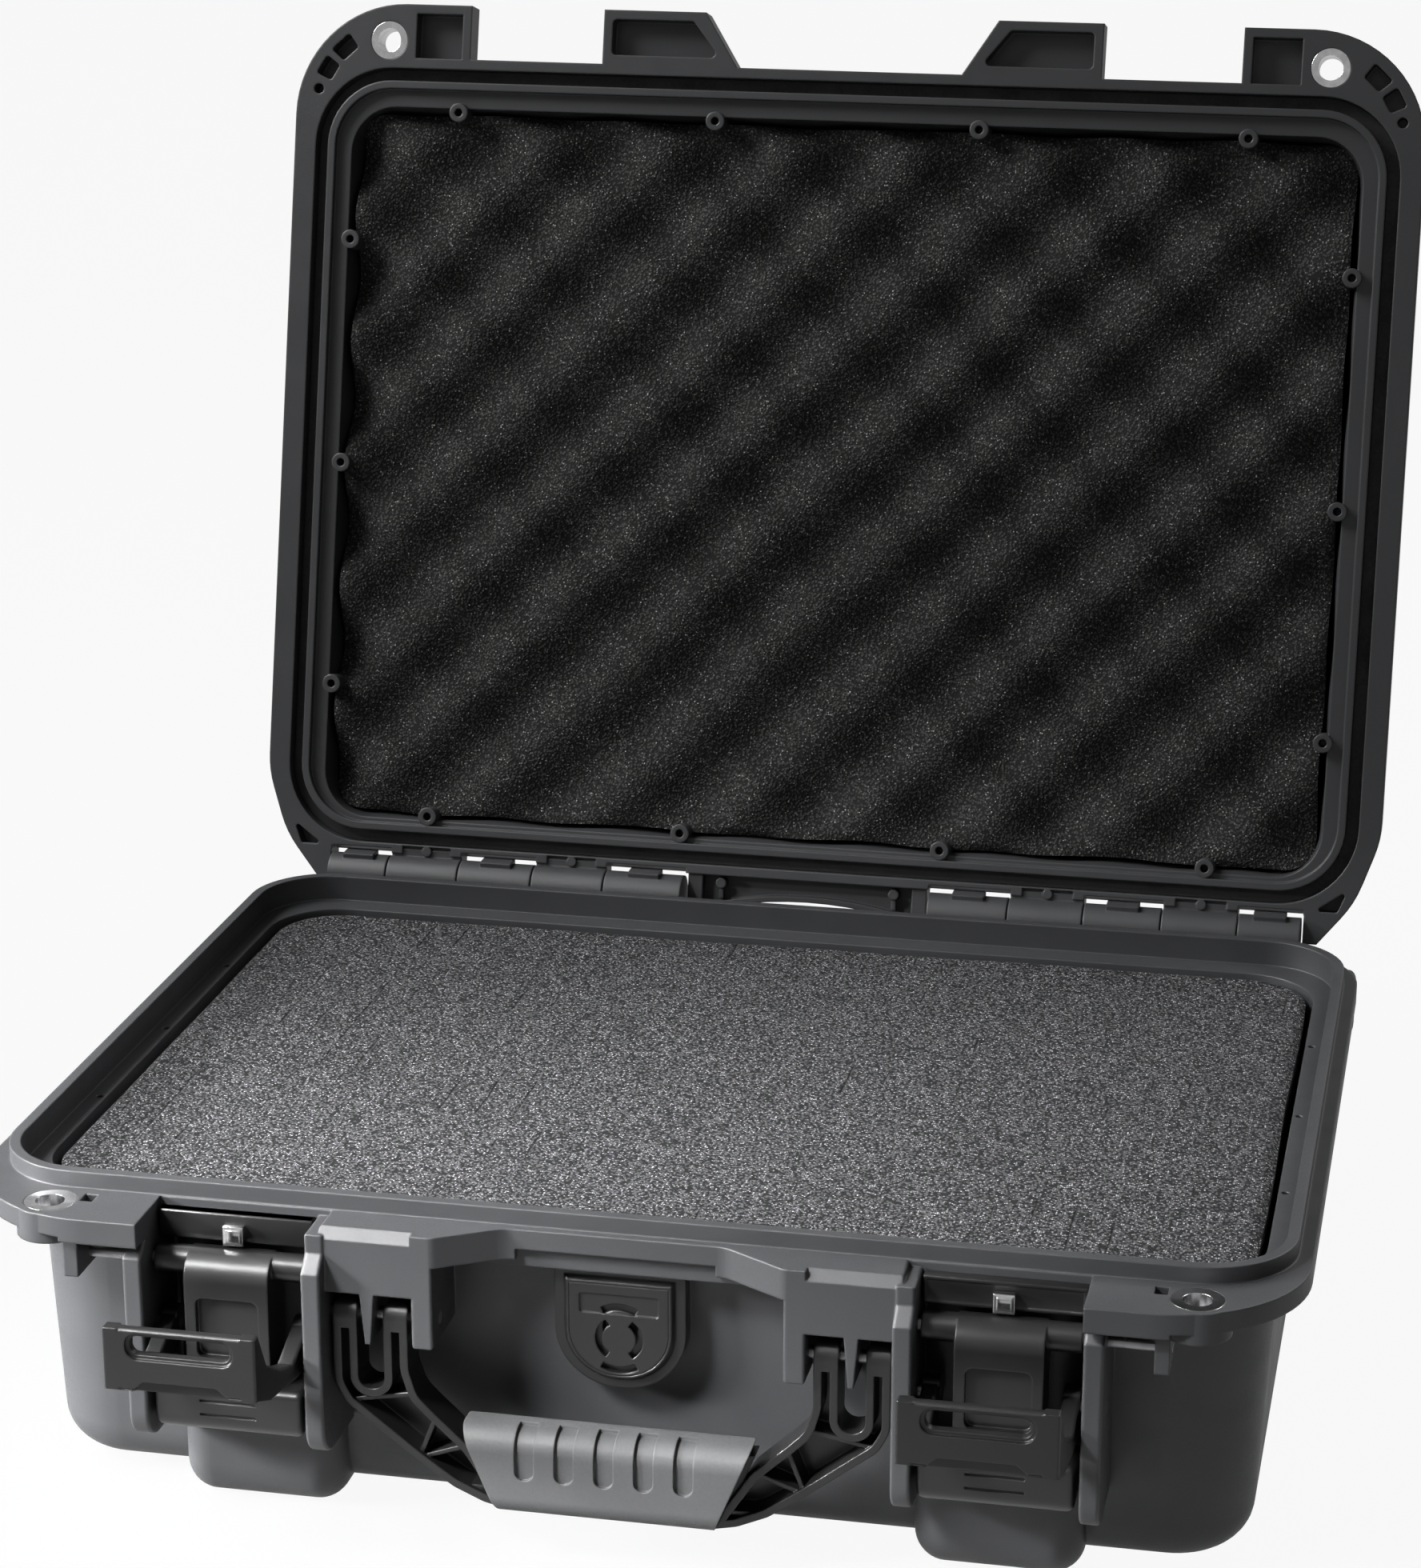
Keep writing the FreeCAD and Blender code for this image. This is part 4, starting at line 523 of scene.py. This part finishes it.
def make_finishes(colours, sizes):
    """Every finish of the case, by the name of its slot."""
    grain = moulded_grain_group()
    cells = foam_cells_group()
    turned = turned_metal_group()
    slits = slit_lines_group()
    return {
        "shell": plastic(
            "moulded_shell", grain, colours.shell,
            grain=1500.0, gloss=0.42, dull=0.55, bump=0.10, edge=0.0009, specular=0.55,
        ),
        "black": plastic(
            "satin_black", grain, colours.black,
            grain=1900.0, gloss=0.29, dull=0.35, bump=0.04, edge=0.0008,
        ),
        "grip": plastic(
            "soft_grip", grain, colours.grip,
            grain=1100.0, gloss=0.52, dull=0.70, bump=0.16, edge=0.0006,
        ),
        "seal": plastic(
            "seal_rubber", grain, colours.seal,
            grain=900.0, gloss=0.55, dull=0.75, bump=0.10, edge=0.0003,
        ),
        "membrane": plastic(
            "valve_membrane", grain, colours.membrane,
            grain=3200.0, gloss=0.70, dull=0.90, bump=0.25, edge=0.0,
        ),
        "lid_foam": foam(
            "crate_foam", cells, colours.lid_foam,
            pore_shade=0.30, glint=9.0, cells=900.0, glint_from=0.90,
        ),
        "base_foam": foam(
            "cubed_foam", cells, colours.base_foam,
            pore_shade=0.12, glint=7.0, cells=880.0, glint_from=0.74, slits=slits, pitch=sizes.cut_pitch,
        ),
        "steel": metal("pin_steel", turned, colours.steel, gloss=0.22, dull=0.38, edge=0.0003),
        "bright": metal("bright_insert", turned, colours.bright, gloss=0.13, dull=0.20, edge=0.0003),
    }


def finish_of(slot):
    """The finish that a slot has, once the finishes are made."""
    name = bpy.context.scene.get("case_finish_" + slot)
    material = bpy.data.materials.get(name or "")
    if material is None:
        raise RuntimeError("the finishes have to be made first: " + slot)
    return material


# Modelling helpers

def pick_none():
    """Leaves nothing selected."""
    if bpy.context.object and bpy.context.object.mode != "OBJECT":
        bpy.ops.object.mode_set(mode="OBJECT")
    bpy.ops.object.select_all(action="DESELECT")


def pick(piece):
    """Leaves only one piece selected, and active."""
    pick_none()
    piece.select_set(True)
    bpy.context.view_layer.objects.active = piece


def named(name):
    """Names the piece that was just added."""
    piece = bpy.context.active_object
    piece.name = name
    piece.data.name = name
    return piece


def settle(piece):
    """Puts the piece's place, turn and size into its mesh."""
    pick(piece)
    bpy.ops.object.transform_apply(location=True, rotation=True, scale=True)


def hand_over(piece, body, slot):
    """Gives a finished piece the finish of its slot and the body that it rides on."""
    piece.data.materials.clear()
    piece.data.materials.append(finish_of(slot))
    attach(piece, body)


def smooth(piece, degrees):
    """Smooth shading, with edges sharper than an angle kept."""
    pick(piece)
    bpy.ops.object.shade_smooth_by_angle(angle=math.radians(degrees))


def turned_open(piece):
    """Turns a piece drawn on the shut lid to the open stop."""
    turn = Matrix.Translation(HINGE) @ Matrix.Rotation(-OPEN_TURN, 4, "X") @ Matrix.Translation(-HINGE)
    piece.data.transform(turn)
    piece.data.update()


class Pad:
    """The plan of a foam pad: a rounded rectangle with slightly uneven sides."""

    def __init__(self, half, front, back, radius, ripple, length, seed):
        self.half = half
        self.front = front
        self.back = back
        self.radius = radius
        self.ripple = ripple
        self.length = length
        self.seed = seed

    def middle(self):
        """Y of the middle."""
        return (self.front + self.back) / 2

    def deep(self):
        """Half the depth."""
        return (self.back - self.front) / 2

    def wave(self, along, side):
        """How far one side stands in at a place along it."""
        place = Vector((along / self.length, side * SIDE_STEP, self.seed * SEED_STEP))
        return self.ripple * (0.5 + 0.5 * noise.noise(place))

    def fitted(self, x, y):
        """A point of the full rectangle moved inside the rounded, uneven one."""
        share_x = x / self.half
        share_y = (y - self.middle()) / self.deep()
        reach = self.half - self.wave(y, RIGHT_SIDE if x > 0 else LEFT_SIDE)
        depth = self.deep() - self.wave(x, BACK_SIDE if y > self.middle() else FRONT_SIDE)
        x = share_x * reach
        y = share_y * depth
        corner_x = reach - self.radius
        corner_y = depth - self.radius
        if abs(x) > corner_x and abs(y) > corner_y:
            over = Vector((abs(x) - corner_x, abs(y) - corner_y))
            longest = max(over)
            round_reach = over.length
            if round_reach > TINY:
                over *= longest / round_reach
            x = math.copysign(corner_x + over[0], x)
            y = math.copysign(corner_y + over[1], y)
        return x, y + self.middle()

    def edge_distance(self, x, y):
        """How far inside the rounded rectangle a point lies."""
        over_x = abs(x) - (self.half - self.radius)
        over_y = abs(y - self.middle()) - (self.deep() - self.radius)
        if over_x > 0 and over_y > 0:
            return self.radius - math.hypot(over_x, over_y)
        return self.radius - max(over_x, over_y)


def foam_slab(name, pad, low, high, cell):
    """A slab of fine mesh between two heights, its sides following the plan."""
    pick_none()
    width = pad.half * 2
    depth = pad.back - pad.front
    bpy.ops.mesh.primitive_grid_add(
        x_subdivisions=max(2, round(width / cell)),
        y_subdivisions=max(2, round(depth / cell)),
        size=1.0,
        location=(0.0, pad.middle(), high),
    )
    slab = named(name)
    slab.scale = (width, depth, 1.0)
    settle(slab)
    bpy.ops.object.mode_set(mode="EDIT")
    bpy.ops.mesh.select_all(action="SELECT")
    bpy.ops.mesh.extrude_region_move(TRANSFORM_OT_translate={"value": (0.0, 0.0, low - high)})
    bpy.ops.mesh.select_all(action="SELECT")
    bpy.ops.mesh.normals_make_consistent(inside=False)
    bpy.ops.object.mode_set(mode="OBJECT")
    for vertex in slab.data.vertices:
        vertex.co.x, vertex.co.y = pad.fitted(vertex.co.x, vertex.co.y)
    return slab


def drawn_in(vertex, pad, inset):
    """Moves a point of a pad's far side in, to follow the draught of the shell round it."""
    vertex.co.x *= 1 - inset / pad.half
    vertex.co.y = pad.middle() + (vertex.co.y - pad.middle()) * (1 - inset / pad.deep())


def rolled_edge(pad, x, y, radius):
    """How far a rounded upper edge drops near a pad's side."""
    inside = max(0.0, pad.edge_distance(x, y))
    if inside >= radius:
        return 0.0
    return radius - math.sqrt(radius * radius - (radius - inside) ** 2)


# Operators

class CASE_OT_finishes(bpy.types.Operator):
    """Makes every finish, and paints the moulded and turned parts"""

    bl_idname = "case.finishes"
    bl_label = "Paint parts"

    def execute(self, context):
        scene = context.scene
        finishes = make_finishes(scene.case_colours, scene.case_sizes)
        for slot, material in finishes.items():
            scene["case_finish_" + slot] = material.name
        for row in frame["record"]["subparts"]:
            node = frame["nodes"][row["node"]]
            node.data.materials.clear()
            node.data.materials.append(finishes[row["material_slot"]])
        return {"FINISHED"}


class CASE_OT_lid_foam(bpy.types.Operator):
    """Models the egg-crate foam in the lid"""

    bl_idname = "case.lid_foam"
    bl_label = "Lid foam"

    def execute(self, context):
        sizes = context.scene.case_sizes
        pad = Pad(**LID_PAD, seed=sizes.seed)
        low = PARTING + sizes.crate_valley
        slab = foam_slab("lid_foam_pad", pad, low, LID_ROOF, sizes.foam_cell)
        middle = (sizes.crate_valley + sizes.crate_peak) / 2
        swing = (sizes.crate_valley - sizes.crate_peak) / 2
        for vertex in slab.data.vertices:
            if vertex.co.z > (low + LID_ROOF) / 2:
                drawn_in(vertex, pad, LID_DRAUGHT)
                continue
            x = vertex.co.x
            y = vertex.co.y - pad.middle()
            bend = BEND_SHARE * noise.noise(Vector((x * BEND_SCALE, y * BEND_SCALE, sizes.seed)))
            ridge = math.cos(math.pi * (x + y) / sizes.crate_pitch + bend)
            cross = math.cos(math.pi * (x - y) / sizes.crate_pitch + bend)
            share = sizes.crate_ridge * ridge + (1 - sizes.crate_ridge) * cross
            vertex.co.z = PARTING + middle - swing * share
            vertex.co.z += rolled_edge(pad, vertex.co.x, vertex.co.y, LID_ROLL)
        slab.data.update()
        turned_open(slab)
        smooth(slab, FOAM_CREASE)
        hand_over(slab, "lid", "lid_foam")
        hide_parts("lid_foam")
        return {"FINISHED"}


class CASE_OT_base_foam(bpy.types.Operator):
    """Models the cubed foam block in the base, and the pad under it"""

    bl_idname = "case.base_foam"
    bl_label = "Base foam"

    def execute(self, context):
        sizes = context.scene.case_sizes
        pad = Pad(**CUBES_PAD, seed=sizes.seed + CUBES_SEED)
        cubes_cell = sizes.foam_cell * CUBES_CELL_RATIO
        block = foam_slab("base_foam_cubes", pad, CUBES_LOW, CUBES_TOP, cubes_cell)
        for vertex in block.data.vertices:
            x, y = vertex.co.x, vertex.co.y
            if vertex.co.z > (CUBES_LOW + CUBES_TOP) / 2:
                sag = SAG * noise.noise(Vector((x * SAG_SCALE, y * SAG_SCALE, sizes.seed)))
                vertex.co.z += sag - rolled_edge(pad, x, y, CUBES_ROLL)
            else:
                drawn_in(vertex, pad, CUBES_DRAUGHT)
        block.data.update()
        smooth(block, FOAM_CREASE)
        hand_over(block, "base", "base_foam")
        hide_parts("base_foam_block")
        under = Pad(**UNDER_PAD, seed=sizes.seed + UNDER_SEED)
        under_cell = sizes.foam_cell * UNDER_CELL_RATIO
        floor_pad = foam_slab("base_foam_floor", under, UNDER_LOW, UNDER_TOP, under_cell)
        for vertex in floor_pad.data.vertices:
            if vertex.co.z > (UNDER_LOW + UNDER_TOP) / 2:
                vertex.co.z -= rolled_edge(under, vertex.co.x, vertex.co.y, UNDER_ROLL)
        floor_pad.data.update()
        smooth(floor_pad, FOAM_CREASE)
        hand_over(floor_pad, "base", "base_foam")
        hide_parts("base_foam_pad")
        return {"FINISHED"}


def rounded_block(name, span_x, span_y, span_z, edge, recess):
    """A block with rounded edges and a shallow recess in its front, where a negative one is a bulge."""
    pick_none()
    place = [(low + high) / 2 for low, high in (span_x, span_y, span_z)]
    bpy.ops.mesh.primitive_cube_add(size=1.0, location=place)
    block = named(name)
    block.scale = [high - low for low, high in (span_x, span_y, span_z)]
    settle(block)
    for face in block.data.polygons:
        face.select = face.normal.y < FRONT_FACING
    bpy.ops.object.mode_set(mode="EDIT")
    bpy.ops.mesh.select_mode(type="FACE")
    bpy.ops.mesh.inset(thickness=edge * TRIM_INSET_RATIO)
    bpy.ops.mesh.extrude_region_move(TRANSFORM_OT_translate={"value": (0.0, recess, 0.0)})
    bpy.ops.mesh.select_all(action="SELECT")
    bpy.ops.mesh.normals_make_consistent(inside=False)
    bpy.ops.mesh.bevel(
        offset=edge, offset_type="OFFSET", segments=TRIM_SEGMENTS, affect="EDGES", clamp_overlap=True
    )
    bpy.ops.object.mode_set(mode="OBJECT")
    smooth(block, TRIM_CREASE)
    return block


class CASE_OT_latch_shade_bars(bpy.types.Operator):
    """Models the black bar over each lever, which paints the shade in the bay there, and the bright spring
    end on it
    """

    bl_idname = "case.latch_bridges"
    bl_label = "Latch bridges"

    def execute(self, context):
        for side, sign in (("left", -1), ("right", 1)):
            middle = sign * LATCH_X
            bar_x = (middle - SHADE_BAR_HALF, middle + SHADE_BAR_HALF)
            bar_y = (SKIRT_FRONT - SHADE_BAR_DEPTH, SKIRT_FRONT)
            bar_z = (ROLL_TOP + LATCH_GAP, ROLL_TOP + LATCH_GAP + SHADE_BAR_HEIGHT)
            # Painted shade: a black bar put where the bay above the lever lies in shade
            bar = rounded_block("latch_bridge_" + side, bar_x, bar_y, bar_z, TRIM_EDGE, SHADE_BAR_RECESS)
            hand_over(bar, "base", "black")
            end_x = (middle - SPRING_HALF, middle + SPRING_HALF)
            end_y = (bar_y[0] - SPRING_DEPTH, bar_y[0])
            end_z = (bar_z[0], bar_z[0] + SPRING_HEIGHT)
            end = rounded_block("latch_spring_" + side, end_x, end_y, end_z, TRIM_EDGE, -SPRING_BULGE)
            hand_over(end, "base", "bright")
        return {"FINISHED"}


def seen_share(graph, mirror):
    """1 where the camera looks straight, less in reflections, and 0 for light that falls on the case."""
    path = graph.add("ShaderNodeLightPath").outputs
    straight = graph.maths("MAXIMUM", path["Is Camera Ray"], path["Is Transmission Ray"])
    mirrored = graph.maths("MULTIPLY", path["Is Glossy Ray"], mirror)
    return graph.maths("MAXIMUM", straight, mirrored)


def stage_finish(colour):
    """A floor that is nearly white to the camera, grey in reflections, and keeps a soft shadow."""
    material = bpy.data.materials.new("studio_floor")
    material.use_nodes = True
    graph = Graph(material.node_tree)
    material.node_tree.nodes.clear()
    share = graph.maths("MULTIPLY", seen_share(graph, FLOOR_MIRROR), FLOOR_GLOW)
    paper = graph.add("ShaderNodeBsdfDiffuse", {"Color": shaded(colour, 1.0)}).outputs[0]
    glow = graph.add("ShaderNodeEmission", {"Color": WHITE, "Strength": 1.0}).outputs[0]
    mixed = graph.add("ShaderNodeMixShader", {0: share, 1: paper, 2: glow}).outputs[0]
    graph.add("ShaderNodeOutputMaterial", {"Surface": mixed})
    return material


def light_world(ambient):
    """Even dim light that looks white to the camera and grey in reflections."""
    world = bpy.data.worlds.new("studio_world")
    bpy.context.scene.world = world
    world.use_nodes = True
    graph = Graph(world.node_tree)
    world.node_tree.nodes.clear()
    strength = graph.spread(seen_share(graph, WORLD_MIRROR), ambient, 1.0)
    glow = graph.add("ShaderNodeBackground", {"Color": WHITE, "Strength": strength}).outputs[0]
    graph.add("ShaderNodeOutputWorld", {"Surface": glow})


def add_lamp(name, place, target, size, power, spread):
    """A soft rectangular lamp that faces a point."""
    pick_none()
    bpy.ops.object.light_add(type="AREA", location=place)
    lamp = bpy.context.active_object
    lamp.name = name
    lamp.data.shape = "RECTANGLE"
    lamp.data.size, lamp.data.size_y = size
    lamp.data.energy = power
    lamp.data.spread = math.radians(spread)
    lamp.rotation_euler = (Vector(target) - Vector(place)).to_track_quat("-Z", "Y").to_euler()


def add_camera():
    """The camera of the photograph."""
    turn, tilt, roll = (math.radians(value) for value in CAMERA_ANGLES)
    back = Vector((math.sin(turn) * math.cos(tilt), -math.cos(turn) * math.cos(tilt), math.sin(tilt)))
    level = Vector((math.cos(turn), math.sin(turn), 0.0))
    upright = back.cross(level)
    right = level * math.cos(roll) + upright * math.sin(roll)
    up = upright * math.cos(roll) - level * math.sin(roll)
    pick_none()
    bpy.ops.object.camera_add()
    camera = bpy.context.active_object
    camera.name = "photo_camera"
    matrix = Matrix((right, up, back)).transposed().to_4x4()
    matrix.translation = CAMERA_PLACE
    camera.matrix_world = matrix
    camera.data.sensor_fit = "VERTICAL"
    camera.data.sensor_height = CAMERA_SENSOR
    camera.data.lens = CAMERA_FOCUS / PHOTO_HEIGHT * CAMERA_SENSOR
    camera.data.shift_x = (PHOTO_WIDTH / 2 - CAMERA_CENTRE[0]) / PHOTO_HEIGHT
    camera.data.shift_y = (CAMERA_CENTRE[1] - PHOTO_HEIGHT / 2) / PHOTO_HEIGHT
    camera.data.clip_start = CAMERA_CLIP
    bpy.context.scene.camera = camera


class CASE_OT_stage(bpy.types.Operator):
    """Sets up the floor, the lamps, the world and the camera"""

    bl_idname = "case.stage"
    bl_label = "Stage"

    def execute(self, context):
        stage = context.scene.case_stage
        context.scene.view_settings.view_transform = "Standard"
        pick_none()
        bpy.ops.mesh.primitive_plane_add(size=FLOOR_SIZE, location=(0.0, 0.0, 0.0))
        floor = named("studio_floor")
        floor.data.materials.append(stage_finish(stage.floor))
        light_world(stage.ambient)
        for name, place, target, size, spread in LAMPS:
            add_lamp(name + "_lamp", place, target, size, getattr(stage, name), spread)
        add_camera()
        return {"FINISHED"}


class CASE_PT_panel(bpy.types.Panel):
    """The case's settings and steps"""

    bl_idname = "CASE_PT_panel"
    bl_label = "Hard case"
    bl_space_type = "VIEW_3D"
    bl_region_type = "UI"
    bl_category = "Case"

    def draw(self, context):
        for group in (context.scene.case_colours, context.scene.case_sizes, context.scene.case_stage):
            column = self.layout.column(align=True)
            for key in group.__annotations__:
                column.prop(group, key)
        for operator in STEPS:
            self.layout.operator(operator.bl_idname)


STEPS = (
    CASE_OT_finishes,
    CASE_OT_lid_foam,
    CASE_OT_base_foam,
    CASE_OT_latch_shade_bars,
    CASE_OT_stage,
)
GROUPS = {"case_colours": CaseColours, "case_sizes": CaseSizes, "case_stage": CaseStage}
KINDS = (*GROUPS.values(), *STEPS, CASE_PT_panel)


def register():
    """Adds the settings, the steps and the panel."""
    for kind in KINDS:
        bpy.utils.register_class(kind)
    for key, kind in GROUPS.items():
        setattr(bpy.types.Scene, key, PointerProperty(type=kind))


def unregister():
    """Takes them away again."""
    for key in GROUPS:
        delattr(bpy.types.Scene, key)
    for kind in reversed(KINDS):
        bpy.utils.unregister_class(kind)


def main():
    """Runs every step in order."""
    register()
    for operator in STEPS:
        family, name = operator.bl_idname.split(".")
        getattr(getattr(bpy.ops, family), name)()


if __name__ == "__main__":
    main()
